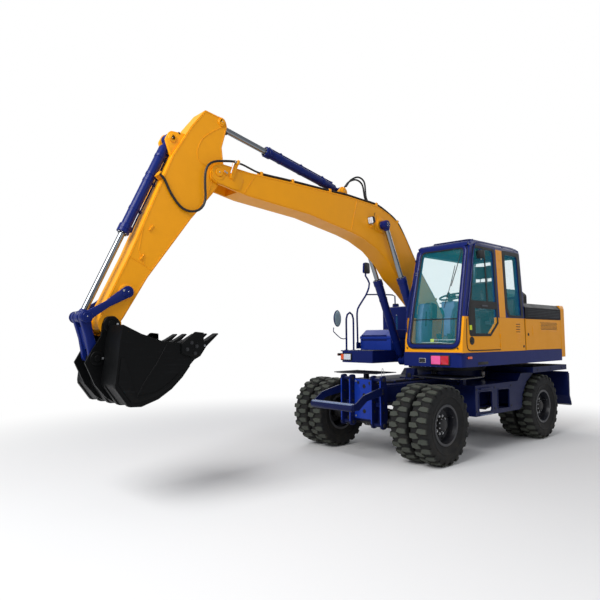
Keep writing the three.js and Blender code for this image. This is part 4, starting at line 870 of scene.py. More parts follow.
def pinCap(maker, spot, side, radius, finishName, height=14, keeper=0.0, bolts=3):
    # a welded ring with the pin's end in it, and where there is one the plate that keeps the pin
    spot = Vector(spot)
    maker.turned([(0, 0), (0, radius * 1.42), (7, radius * 1.42), (10, radius * 1.34), (10, radius * 1.03),
        (6, radius * 1.0), (height, radius * 0.98), (height + 3, radius * 0.9), (height + 3, 0)], spot,
        (side, 0, 0), finishName, 40)
    maker.rod(spot + Vector((side * (height + 2), 0, 0)), spot + Vector((side * (height + 10), 0, 0)), 6,
        "zinc", 8, 1.5)
    if keeper:
        low = spot + Vector((side * 10, -keeper, radius * 0.35))
        high = spot + Vector((side * 17, keeper, radius * 0.95))
        maker.block([min(a, b) for a, b in zip(low, high)], [max(a, b) for a, b in zip(low, high)],
            finishName, 3)
    ring = []
    for i in range(bolts):
        a = 2 * math.pi * (i + 0.25) / bolts
        ring.append((spot + Vector((side * (height + 3), radius * 0.62 * math.cos(a),
            radius * 0.62 * math.sin(a))), (side, 0, 0)))
    if ring:
        maker.addMesh(studs(ring, radius * 0.16, radius * 0.14), "zinc")


def weldBead(maker, points, finishName="yellow", radius=3.2):
    maker.tube(points, radius, finishName, 6, steps=1)


def inset(points, distance):
    # the outline moved inwards by a distance; the points run clockwise or the other way
    area = sum(a[0] * b[1] - b[0] * a[1] for a, b in zip(points, points[1:] + points[:1]))
    turn = 1 if area > 0 else -1
    result = []
    for i, here in enumerate(points):
        before, after = Vector(points[i - 1]), Vector(points[(i + 1) % len(points)])
        a, b = (Vector(here) - before).normalized(), (after - Vector(here)).normalized()
        normal = (Vector((-a.y, a.x)) + Vector((-b.y, b.x))) * turn
        normal = normal / max(normal.length_squared / 2, 0.6)
        result.append(tuple(Vector(here) + normal * distance))
    return result


def pipeRun(maker, points, radius, finishName="hose", clamps=(), clampFinish="yellow", sides=10, lift=0):
    # a formed pipe held down by clamps; clamps are the numbers of the points that have one
    path = [Vector(p) for p in points]
    maker.tube(path, radius, finishName, sides, 5)
    for i in clamps:
        ahead = path[min(i + 1, len(path) - 1)] - path[max(i - 1, 0)]
        turn = ahead.to_track_quat("Y", "Z").to_matrix().to_4x4()
        place = Matrix.Translation(path[i]) @ turn
        maker.block((-radius * 2.1, -13, -radius * 1.25 - lift), (radius * 2.1, 13, radius * 1.45),
            clampFinish, 2.5, place=place)
        maker.addMesh(studs([((s * radius * 1.55, 0, radius * 1.45), (0, 0, 1)) for s in (-1, 1)], 5, 6),
            "zinc", place)


lampPlan = {"half": 52, "corner": 20, "depth": 62, "rim": 9}


def workLamp(maker, place, scale=1.0, lens="white"):
    # a square lamp that looks along -y
    h, c, d = lampPlan["half"] * scale, lampPlan["corner"] * scale, lampPlan["depth"] * scale
    outline = oblong(-h, -h, h, h, c)
    back = [(x * 0.72, z * 0.72) for x, z in outline]
    maker.prism("y", outline, -d * 0.35, d * 0.2, "plastic", 5, place=place)
    maker.prism("y", back, d * 0.15, d * 0.75, "plastic", 8, place=place)
    maker.prism("y", [(x * 0.86, z * 0.86) for x, z in outline], -d * 0.42, -d * 0.3, lens, 3, place=place)
    bars = [(-h * 0.3, 0), (h * 0.3, 0)]
    for x, _ in bars:
        maker.rod((x, -d * 0.43, -h * 0.8), (x, -d * 0.43, h * 0.8), 1.8 * scale, "plastic", 6, place=place)
    maker.turned([(0, 0), (0, 9 * scale), (26 * scale, 9 * scale), (26 * scale, 0)],
        (0, d * 0.1, -h - 20 * scale), (0, 0, 1), "zinc", 12, place=place)


# hydraulic cylinders
cylinders = {"boom": {"start": 130, "gland": 1455, "radius": 64, "rod": 38, "eyeHalf": 38, "pin": 38,
    "length": 1420, "eye": 68}, "stick": {"start": 130, "gland": 1420, "radius": 58, "rod": 38, "eyeHalf": 50,
    "pin": 32, "length": 1380, "eye": 62}, "bucket": {"start": 120, "gland": 1235, "radius": 56, "rod": 34,
    "eyeHalf": 48, "pin": 32, "length": 1200, "eye": 58}, "blade": {"start": 52, "gland": 410, "radius": 40,
    "rod": 22, "eyeHalf": 44, "pin": 24, "length": 376, "eye": 34},}


def drawBarrel(maker, plan, x=0.0, pipeTurn=90.0, clamps=(0.3, 0.62, 0.88), clampFinish="navy", sleeve=0.0):
    r, start, gland, eye = plan["radius"], plan["start"], plan["gland"], plan["pin"] + 30
    half = plan["eyeHalf"]
    maker.turned([(-half, plan["pin"] * 0.9), (-half, eye - 5), (-half + 5, eye), (half - 5, eye),
        (half, eye - 5), (half, plan["pin"] * 0.9), (-half, plan["pin"] * 0.9)], (x, 0, 0), (1, 0, 0), "navy",
        40)
    body = [(0, 0), (0, r * 0.6), (start * 0.72, r * 0.64), (start * 0.86, r * 0.78), (start - 4, r - 3),
        (start + 6, r), (gland - 100, r), (gland - 97, r + 4), (gland - 92, r + 11), (gland - 86, r + 12),
        (gland - 48, r + 12), (gland - 45, r + 8), (gland - 40, r + 8), (gland - 37, r + 12),
        (gland - 8, r + 12), (gland - 3, r + 8), (gland, plan["rod"] + 14), (gland, plan["rod"] + 5),
        (gland - 5, plan["rod"] + 3), (gland - 5, 0)]
    maker.turned(body, (x, 0, 0), (0, -1, 0), "navy", 44)
    maker.turned([(gland - 4, plan["rod"] + 1), (gland - 4, plan["rod"] + 8), (gland + 7, plan["rod"] + 6),
        (gland + 9, plan["rod"] + 1), (gland - 4, plan["rod"] + 1)], (x, 0, 0), (0, -1, 0), "seal", 36)
    if sleeve:
        maker.turned([(gland - 100 - sleeve, r - 2), (gland - 100 - sleeve, r + 5), (gland - 96, r + 5),
            (gland - 96, r - 2)], (x, 0, 0), (0, -1, 0), "navy", 44)
    heads = []
    for i in range(8):
        a = 2 * math.pi * (i + 0.5) / 8
        heads.append(((x + (r - 6) * math.cos(a), -gland - 1, (r - 6) * math.sin(a)), (0, -1, 0)))
    maker.addMesh(studs(heads, 6.5 if r > 45 else 4, 8 if r > 45 else 5), "zinc")
    a = math.radians(pipeTurn)
    out = Vector((math.cos(a), 0, math.sin(a)))
    reach = r + 18
    width = 9 if r > 45 else 6

    def spot(d, far):
        return Vector((x, -d, 0)) + out * far
    for d in (start + 48, gland - 66):
        maker.rod(spot(d, r * 0.8), spot(d, reach + 9), 17 if r > 45 else 10, "navy", 16, 4)
    maker.tube([spot(start + 48, reach + 1), spot(start + 80, reach + 3), spot(start + 130, reach),
        spot(gland * 0.5, reach), spot(gland - 130, reach), spot(gland - 96, reach + 3),
        spot(gland - 66, reach + 1)], width, "navy", 10, 3)
    for part in clamps:
        d = start + (gland - 100 - start) * part
        maker.turned([(d - 15, r - 2), (d - 15, r + 4), (d + 15, r + 4), (d + 15, r - 2), (d - 15, r - 2)],
            (x, 0, 0), (0, -1, 0), clampFinish, 44)
        maker.rod(spot(d - 14, reach), spot(d + 14, reach), width * 1.9, clampFinish, 12, 3)
        maker.rod(spot(d, reach + width), spot(d, reach + width * 2.6), 5, "zinc", 6)


def drawRod(maker, plan, x=0.0):
    # the eye is at 0 and the rod runs back along +y
    eye, half, rod = plan["eye"], plan["eyeHalf"], plan["rod"]
    maker.turned([(0, 0), (0, rod), (plan["length"], rod), (plan["length"], 0)], (x, 0, 0), (0, 1, 0),
        "chrome", 44)
    maker.turned([(0, 0), (0, rod + 9), (eye + 6, rod + 9), (eye + 12, rod + 4), (eye + 20, rod + 2),
        (eye + 20, rod - 1)], (x, 0, 0), (0, 1, 0), "navy", 36)
    maker.turned([(-half, plan["pin"] * 0.9), (-half, eye - 5), (-half + 5, eye), (half - 5, eye),
        (half, eye - 5), (half, plan["pin"] * 0.9), (-half, plan["pin"] * 0.9)], (x, 0, 0), (1, 0, 0), "navy",
        40)
    maker.rod((x, eye * 0.2, eye - 4), (x, eye * 0.2, eye + 9), 6, "zinc", 8, 2)


def pinThrough(maker, x0, x1, radius, finishName="steel"):
    maker.turned([(0, 0), (0, radius - 2), (2, radius), (x1 - x0 - 2, radius), (x1 - x0, radius - 2),
        (x1 - x0, 0)], (x0, 0, 0), (1, 0, 0), finishName, 32)


def eyeFrame(eye, tilt):
    return Matrix.Translation(eye) @ Matrix.Rotation(math.radians(tilt), 4, "X") @ Matrix.Scale(0.001, 4)


def buildCylinders():
    boomTilt, stickTilt = slideTilt("boom_rod_slide"), slideTilt("stick_rod_slide")
    bucketTilt, bladeTilt = slideTilt("bucket_rod_slide"), slideTilt("blade_rod_slide")
    plan = cylinders["boom"]
    barrels = Maker("boom_cylinder_barrels")
    for x in (-240, 240):
        drawBarrel(barrels, plan, x, pipeTurn=90 if x > 0 else 90, clamps=(0.18, 0.5, 0.8), sleeve=150)
    pinThrough(barrels, -300, 300, plan["pin"], "navy")
    for side in (-1, 1):
        pinCap(barrels, (side * 280, 0, 0), side, plan["pin"], "navy", 12)
    barrels.done("boom_cylinders", ("boom_cylinders",),
        place=pinFrame("boom_cylinder_tilt", boomTilt))
    eye = boomFrame @ arm(0, 2209, 887)
    for name, side in (("left", 1), ("right", -1)):
        rod = Maker(f"{name}_boom_rod_form")
        drawRod(rod, plan, side * 240)
        x0, x1 = sorted((side * 175, side * 292))
        pinThrough(rod, x0, x1, 40, "navy")
        pinCap(rod, (side * 278, 0, 0), side, 44, "navy", 14, bolts=4)
        rod.turned([(0, 40), (0, 66), (10, 62), (10, 40), (0, 40)], (side * 186, 0, 0), (side, 0, 0), "navy",
            36)
        rod.done("boom_rods", (f"{name}_boom_rod",), place=eyeFrame(eye, boomTilt))
    for key, eye, tilt, joint, turn, clamps in (("stick", stickFrame @ arm(0, -553, 310), stickTilt,
            "stick_cylinder_tilt", 90, (0.2, 0.55, 0.86)), ("bucket", leverEnd, bucketTilt,
            "bucket_cylinder_tilt", -90, (0.12, 0.36, 0.44, 0.8)),
            ("blade", at(0, 1815, 790), bladeTilt, "blade_cylinder_tilt", 90, (0.5,))):
        plan = cylinders[key]
        barrel = Maker(f"{key}_cylinder_barrel")
        drawBarrel(barrel, plan, 0.0, turn, clamps)
        edge = 96 if key != "bucket" else 100
        pinThrough(barrel, -edge, edge, plan["pin"])
        for side in (-1, 1):
            pinCap(barrel, (side * (edge - 4), 0, 0), side, plan["pin"],
                "yellow" if key != "blade" else "navy", 10, keeper=30 if key != "blade" else 0, bolts=0)
        barrel.done(f"{key}_cylinder", (f"{key}_cylinder",), place=pinFrame(joint, tilt))
        rod = Maker(f"{key}_rod_form")
        drawRod(rod, plan)
        pinThrough(rod, -60 if key != "blade" else -53, 60 if key != "blade" else 53, plan["pin"], "steel")
        rod.done(f"{key}_rod", (f"{key}_rod",), place=eyeFrame(eye, tilt))
    print("cylinders made")


# boom
boomPlan = {"half": 152, "tip": 5036, "knee": 2100}
boomWeb = [(5132, -30, 60), (5056, 116, 50), (4636, 258), (3996, 528), (3020, 922), (2400, 1135),
    (2100, 1160), (1870, 1142, 120), (1615, 1018, 100), (1100, 706), (466, 402), (60, 150), (-120, 70, 60),
    (-125, -75, 60), (-10, -140), (150, -110), (885, 156), (1180, 240), (1555, 312), (1815, 432), (2160, 508),
    (2500, 505), (2775, 462), (3586, 282), (4561, -33), (5006, -128, 50), (5096, -120)]


def boomSide(maker, side):
    face = side * boomPlan["half"]
    out = face + side * 1.5
    edge = inset(armOutline(boomWeb, 4), 17)
    weldBead(maker, [(out, y, z) for y, z in edge] + [(out, *edge[0])], radius=2.6)
    for along, low, high, lean in ((4592, -24, 262, -30), (2800, 478, 978, 26), (1200, 262, 750, 18)):
        weldBead(maker, [arm(out, along - lean, low), arm(out, along, (low + high) / 2),
            arm(out, along + lean, high)])
    cheek = armOutline([(5122, -24, 70), (5048, 106, 70), (4800, 182, 60), (4700, 120, 60), (4690, -30, 60),
        (4780, -72, 40), (5000, -118, 60), (5086, -108, 40)], 6)
    maker.prism("x", cheek, *sorted((face, face + side * 9)), "yellow", 4)
    maker.turned([(0, 0), (0, 92), (8, 92), (12, 86), (12, 54), (8, 50), (20, 48), (23, 44), (23, 0)],
        arm(face + side * 2, 5036, 0), (side, 0, 0), "yellow", 48)
    maker.rod(arm(face + side * 22, 5036, 0), arm(face + side * 31, 5036, 0), 7, "zinc", 8, 2)
    maker.block(*cornersOf(arm(face + side * 12, 4990, 26), arm(face + side * 27, 4935, 64)), "yellow", 3)
    maker.addMesh(studs([(arm(face + side * 27, a, 45), (side, 0, 0)) for a in (4948, 4978)], 9, 9), "zinc")
    foot = arm(face + side * 1, 0, 0)
    maker.turned([(0, 0), (0, 108), (6, 108), (6, 0)], foot, (side, 0, 0), "yellow", 48)
    boss = arm(face + side * 4, 2209, 887)
    maker.turned([(0, 0), (0, 104), (10, 104), (16, 98), (18, 82), (18, 60), (18, 0)], boss, (side, 0, 0),
        "yellow", 48)
    rib = armOutline([(2330, 760, 30), (2330, 1010, 40), (2080, 1010, 60), (2060, 800, 60)], 5)
    maker.prism("x", rib, *sorted((face, face + side * 7)), "yellow", 3)


def cornersOf(a, b):
    return [min(p, q) for p, q in zip(a, b)], [max(p, q) for p, q in zip(a, b)]


def buildBoom():
    softened("boom", "yellow", 0.008)
    maker = Maker("boom_fittings")
    for side in (-1, 1):
        boomSide(maker, side)
    low = [(190, 262), (466, 436), (1100, 742), (1600, 1050), (1850, 1170), (2100, 1192), (2400, 1168),
        (2740, 1052), (3020, 956), (3347, 822), (3996, 562), (4300, 434), (4480, 360)]
    for side in (-1, 1):
        for x in (122, 88):
            path = [arm(side * x, a, u) for a, u in low]
            pipeRun(maker, path, 12, "hose", clamps=())
        for i in (1, 2, 4, 6, 9, 10, 12):
            a, u = low[i]
            ahead = arm(0, *low[min(i + 1, len(low) - 1)]) - arm(0, *low[i - 1])
            place = Matrix.Translation(arm(side * 105, a, u)) @ ahead.to_track_quat("Y",
                "Z").to_matrix().to_4x4()
            maker.block((-42, -17, -34), (42, 17, 17), "yellow", 3, place=place)
            maker.addMesh(studs([((0, 0, 17), (0, 0, 1))], 8, 8), "zinc", place)
    bend = [arm(122, 4480, 360), arm(140, 4570, 326), arm(168, 4680, 292), arm(185, 4780, 266),
        arm(185, 4850, 246)]
    maker.tube(bend, 12, "hose", 12, 5)
    maker.rod(arm(185, 4838, 249), arm(185, 4868, 241), 19, "zinc", 6)
    maker.rod(arm(185, 4866, 241.5), arm(185, 4907, 231), 17, "steel", 20, 3)
    maker.block(*cornersOf(arm(158, 4878, 214), arm(206, 4848, 272)), "yellow", 4)
    post = armOutline([(4884, 24, 10), (4842, 24, 10), (4842, 222, 10), (4884, 222, 10)], 3)
    maker.prism("x", post, 170, 182, "yellow", 3)
    maker.rod(arm(196, 4906, 60), arm(196, 4912, 205), 7, "zinc", 10, 2)
    for x, reach in ((60, 190), (32, 150)):
        # formed pipes from the clamps on top to the stick cylinder's ports
        maker.tube([arm(x + 40, 2560, 1120), arm(x + 34, 2620, 1180), arm(x + 24, 2720, 1180 + reach),
            arm(x + 8, 2850, 1190 + reach), arm(x - 8, 2960, 1150 + reach * 0.6), arm(x - 14, 3010, 1118)],
            13, "hose", 12, 8)
    base = arm(0, 3069, 1000)
    for side in (-1, 1):
        plate = armOutline([(2925, 920, 20), (3170, 880, 20), (3122, 1048, 46), (3016, 1048, 46)], 5)
        maker.prism("x", plate, *sorted((side * 57, side * 91)), "yellow", 4)
        pinCap(maker, base + Vector((side * 91, 0, 0)), side, 34, "yellow", 12, keeper=34, bolts=0)
    maker.done("boom", place=boomFrame)
    lamp = Maker("boom_lamp")
    place = shiftBy(74, -2066, 3436) @ Matrix.Rotation(math.radians(14), 4, "X")
    workLamp(lamp, place, 1.0)
    lamp.tube([(24, -2010, 3350), (74, -2030, 3352), (74, -2062, 3366)], 9, "yellow", 10, 4)
    lamp.block((22, -2045, 3330), (30, -1975, 3372), "yellow", 3)
    lamp.tube([(74, -2030, 3440), (60, -1990, 3500), (30, -1940, 3560), (12, -1900, 3600)], 3.5, "hose", 8, 6)
    lamp.tube([(24, -1730, 3330), (44, -1700, 3300), (52, -1660, 3240), (40, -1620, 3170), (24, -1600, 3120)],
        4, "hose", 8, 6)
    lamp.done("boom", place=slewFrame)
    print("boom made")


# stick
stickWeb = [(-492, 548, 30), (-186, 560), (251, 528), (1466, 262), (2126, 150), (2282, 40, 60),
    (2266, -70, 60), (2058, -78), (1550, -42), (683, -62), (233, -100), (125, -98), (20, -95), (-90, -60),
    (-300, 130), (-560, 220, 60), (-625, 300, 60), (-570, 390)]


def buildStick():
    softened("stick", "yellow", 0.008)
    maker = Maker("stick_fittings")
    for side in (-1, 1):
        face = side * 120
        out = face + side * 1.5
        edge = inset(armOutline(stickWeb, 4), 15)
        weldBead(maker, [(out, y, z) for y, z in edge] + [(out, *edge[0])], radius=2.6)
        weldBead(maker, smoothPath([arm(out, a, u) for a, u in ((-560, 250), (-360, 330), (-170, 372),
            (0, 330), (60, 240), (40, 120), (90, 20), (240, -40), (420, -52))], 6), radius=2.8)
        weldBead(maker, [arm(out, a, u) for a, u in ((1130, 318), (1380, 205), (1470, 60), (1470, -30))])
        weldBead(maker, [arm(out, a, u) for a, u in ((1500, 236), (1470, 60))])
        collar = [(0, 0), (0, 84), (6, 84), (9, 78), (9, 44), (4, 42), (16, 40), (19, 36), (19, 0)]
        maker.turned([(a, r) for a, r in collar[:5]] + [(9, 0)], arm(face, 1820, 52), (side, 0, 0), "yellow",
            40)
        nose = [(0, 0), (0, 118), (5, 118), (5, 0)]
        maker.turned(nose, arm(face, 2186, 0), (side, 0, 0), "yellow", 48)
        maker.rod(arm(side * 76, -20, 586), arm(side * 76, -20, 622), 20, "seal", 20, 8)
        maker.rod(arm(side * 100, -503, 168), arm(side * 100, -503, 208), 20, "seal", 20, 8)
        for along, up in ((1098, 238), (1416, 134)):
            spot = arm(face, along, up)
            for shift in (-20, 20):
                maker.rod(spot + Vector((0, shift, 0)), spot + Vector((side * 17, shift, 0)), 9, "yellow", 12,
                    3)
            maker.block(*cornersOf(spot + Vector((0, -38, -8)), spot + Vector((side * 9, 38, 8))), "yellow",
                2)
        lug = armOutline([(-98, 516, 20), (292, 496, 20), (158, 686, 40), (42, 702, 50)], 5)
        maker.prism("x", lug, *sorted((side * 59, side * 94)), "yellow", 4)
        pinCap(maker, arm(side * 94, 92, 636), side, 34, "yellow", 12, keeper=34, bolts=0)
        pinCap(maker, arm(side * 121, -553, 310), side, 36, "yellow", 14, keeper=40, bolts=0)
    maker.done("stick", place=stickFrame)
    print("stick made")


# bucket, levers and link
def buildBucket():
    softened("bucket", "bucket", 0.006)
    maker = Maker("bucket_fittings")
    low = [(-60, -345), (-92, -575), (-88, -612), (40, -786), (60, -794), (173, -800), (350, -741),
        (493, -652), (612, -541), (700, -430)]
    lift = [(y * 0.99 + 2, z * 0.985 + 6) for y, z in low]
    for x in (-462, -231, 0, 231, 462):
        maker.prism("x", low + lift[::-1], x - 24, x + 24, "bucket", 3)
    for side in (-1, 1):
        face = side * 490
        cutter = rounded([(596, -296, 10), (598, -206, 30), (752, -84, 30), (842, -92, 20), (846, -232, 20),
            (742, -342, 20)], 4)
        maker.prism("x", cutter, *sorted((face, face + side * 20)), "bucket", 4)
        maker.addMesh(studs([((face + side * 20, y, z), (side, 0, 0)) for y,
            z in ((650, -258), (700, -190), (760, -228), (742, -300))], 15, 14), "satin")
        lipLine = [(150, -112), (372, -183), (560, -206), (720, -222)]
        weldBead(maker, [(face + side * 1, y, z) for y, z in lipLine], "bucket", 4)
        weldBead(maker, [(face + side * 1, y, z) for y, z in ((430, -205), (330, -380), (200, -560),
            (84, -770))], "bucket", 3.5)
        strip = rounded([(-40, -330, 10), (-6, -330, 10), (120, -700, 10), (330, -668, 10), (470, -585, 10),
            (600, -470, 10), (618, -494, 10), (486, -616, 10), (342, -703, 10), (150, -752, 10),
            (70, -752, 10), (-66, -570, 10)], 3)
        maker.prism("x", strip, *sorted((face, face + side * 8)), "bucket", 3)
        ear = side * 152
        for spot, r in (((ear, 0, 0), 40), ((ear, -134, -335), 34)):
            maker.turned([(0, r), (0, r * 2.0), (8, r * 2.0), (12, r * 1.9), (12, r * 1.15), (8, r * 1.08),
                (8, r * 0.9), (20, r * 0.88), (22, r * 0.8), (22, 0)], spot, (side, 0, 0), "bucket", 44)
            maker.addMesh(studs([(Vector(spot) + Vector((side * 14, r * 1.5, 0)), (side, 0, 0))], 9, 8),
                "zinc")
    for i in range(5):
        x = -440 + 220 * i
        adapter = rounded([(700, -392, 12), (706, -296, 12), (850, -186, 12), (930, -150, 10),
            (916, -196, 10), (820, -330, 12)], 3)
        maker.prism("x", adapter, x - 52, x + 52, "bucket", 6)
        maker.rod((x - 58, 868, -222), (x + 58, 868, -222), 13, "steel", 12, 3)
        weldBead(maker, [(x - 54, 712, -300), (x - 54, 846, -196)], "bucket", 5)
        weldBead(maker, [(x + 54, 712, -300), (x + 54, 846, -196)], "bucket", 5)
    edge = [(792, -318), (868, -236), (884, -240), (808, -330)]
    maker.prism("x", edge, -488, 488, "steel", 2)
    maker.done("bucket", place=bucketFrame)
    lever = Maker("tipping_lever_form")
    reach = (leverEnd - Vector(joints["tipping_lever_swing"]["pos_m"])).length * 1000
    outline = armOutline([(-62, -20, 40), (-62, 30, 40), (0, 58, 40), (70, 52, 30), (reach * 0.5, 34, 60),
        (reach - 60, 44, 30), (reach + 20, 60, 40), (reach + 64, 0, 50), (reach + 20, -60, 40),
        (reach - 60, -44, 30), (reach * 0.5, -34, 60), (70, -52, 30), (0, -58, 40)], 6)
    for side in (-1, 1):
        lever.prism("x", outline, *sorted((side * 126, side * 156)), "navy", 7, 3)
        for along in (0, reach):
            lever.turned(capLine(60, 8, 12, 54), arm(side * 154, along, 0), (side, 0, 0), "navy", 40)
            pinCap(lever, arm(side * 162, along, 0), side, 30, "navy", 8, bolts=0)
        lever.addMesh(studs([(arm(side * 166, 34, 34), (side, 0, 0))], 9, 8), "zinc")
        lever.turned([(0, 0), (0, 56), (54, 56), (54, 0)], arm(side * 126, reach, 0), (-side, 0, 0), "navy",
            36)
    pinThrough(lever, -166, 166, 34)
    leverTilt = tiltTo("tipping_lever_swing", leverEnd)
    lever.done("tipping_lever", ("tipping_lever",), place=pinFrame("tipping_lever_swing",
        leverTilt))
    link = Maker("bucket_link_form")
    reach = (leverEnd - Vector(joints["bucket_link_swing"]["pos_m"])).length * 1000
    outline = armOutline([(-58, 0, 50), (0, 58, 50), (70, 50, 30), (reach * 0.5, 40, 60),
        (reach - 50, 48, 20), (reach, 56, 40), (reach + 56, 0, 50), (reach, -56, 40), (reach - 50, -48, 20),
        (reach * 0.5, -40, 60), (70, -50, 30), (0, -58, 50)], 6)
    for side in (-1, 1):
        link.prism("x", outline, *sorted((side * 62, side * 112)), "navy", 8, 3)
        link.turned([(0, 0), (0, 52), (10, 50), (10, 0)], arm(side * 112, reach, 0), (side, 0, 0), "navy", 36)
    web = armOutline([(96, 24), (reach - 96, 24), (reach - 96, -24), (96, -24)], 2)
    link.prism("x", web, -70, 70, "navy", 6)
    for s in (-1, 1):
        weldBead(link, [arm(s * 62, 96, 24), arm(s * 62, reach - 96, 24)], "navy", 5)
    link.done("bucket_link", ("bucket_link",), place=pinFrame("bucket_link_swing",
        tiltTo("bucket_link_swing", leverEnd)))
    print("bucket made")


buildCylinders()
buildBoom()
buildStick()
buildBucket()



# free hose from the boom to the stick
hosePlan = {"radius": 14, "diameter": 0.028, "route": [(0.055, -4.540, 3.792), (0.055, -4.615, 3.781),
    (0.055, -4.700, 3.764), (0.055, -4.790, 3.743), (0.054, -4.868, 3.706), (0.053, -4.921, 3.643),
    (0.051, -4.941, 3.560), (0.049, -4.942, 3.480), (0.046, -4.938, 3.400), (0.042, -4.930, 3.320),
    (0.036, -4.936, 3.240), (0.029, -4.973, 3.168), (0.022, -5.040, 3.122), (0.017, -5.120, 3.108),
    (0.013, -5.200, 3.126), (0.010, -5.268, 3.176), (0.008, -5.322, 3.240), (0.007, -5.368, 3.306),
    (0.0065, -5.402, 3.372), (0.006, -5.4351, 3.4264), (0.006, -5.4873, 3.4629)],
    "blendFrom": (0.05, -4.66, 3.77), "blendTo": (0.04, -4.94, 3.36)}


def buildHose():
    route = smoothPath([at(x * 1000, y * 1000, z * 1000) for x, y, z in hosePlan["route"]], 2)
    maker = Maker("arm_hose_rubber")
    maker.tube(route, hosePlan["radius"] / 1000, "hose", 14, 1)
    mesh = bpy.data.meshes.new("arm_hose_rubber")
    maker.form.to_mesh(mesh)
    maker.form.free()
    mesh.materials.append(look["hose"])
    mesh.shade_smooth()
    hose = bpy.data.objects.new("arm_hose_rubber", mesh)
    bpy.context.collection.objects.link(hose)
    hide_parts("arm_hose")
    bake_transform(hose)


buildHose()
# a lit copy of the navy paint: painted highlight for faces that catch the light
look["paintedHighlightNavy"] = finish("paintedHighlightNavy", rgb(22, 54, 156), 0.34, coat=0.08, drift=0.15, dust=0.03,
    specular=0.2)


# cab
cabPlan = {"inner": 270, "side": 1238, "rear": 296, "top": 3134, "seat": 744, "sill": 1976}


def frontY(z):
    # how far forward the cab's front face is at a height
    lower = -1560 + (z - 1640) * 105 / 510
    upper = -1455 + (z - 2150) * 220 / 856
    mix = min(max((z - 2000) / 300, 0), 1)
    return lower * (1 - mix) + upper * mix


def sideX(z):
    return 1238 - (z - 1466) * 0.0112 if z < 2000 else 1232 - (z - 2000) * 40 / 1074


def onSide(y, z, out=0.0):
    return Vector((sideX(z) + out, y, z))


def onFront(x, z, out=0.0):
    return Vector((x, frontY(z) - out, z))


def ringPanel(maker, outer, inner, surface, low, high, finishName):
    # a flat ring between two outlines that have the same number of points
    part = bmesh.new()
    loops = [[part.verts.new(surface(a, b, out)) for a, b in line] for line,
        out in ((outer, low), (outer, high), (inner, high), (inner, low))]
    count = len(outer)
    for k in range(4):
        one, two = loops[k], loops[(k + 1) % 4]
        for i in range(count):
            j = (i + 1) % count
            part.faces.new((one[i], one[j], two[j], two[i]))
    bmesh.ops.recalc_face_normals(part, faces=part.faces)
    maker.add(part, finishName)


def frameBar(maker, outline, surface, radius, out, finishName, squash=0.6):
    # a bar of flattened round section that follows an outline on a surface
    path = [surface(a, b, out) for a, b in outline]
    part = bmesh.new()
    rings = []
    count = len(path)
    for i, spot in enumerate(path):
        run = (path[(i + 1) % count] - path[i - 1]).normalized()
        a, b = outline[i]
        outward = (surface(a, b, out + 10) - surface(a, b, out)).normalized()
        side = run.cross(outward).normalized()
        rings.append([part.verts.new(spot + side * (radius * math.cos(2 * math.pi * k / 10)) + outward
            * (radius * squash * math.sin(2 * math.pi * k / 10))) for k in range(10)])
    for a, b in zip(rings, rings[1:] + rings[:1]):
        for k in range(10):
            part.faces.new((a[k], a[(k + 1) % 10], b[(k + 1) % 10], b[k]))
    bmesh.ops.recalc_face_normals(part, faces=part.faces)
    maker.add(part, finishName)


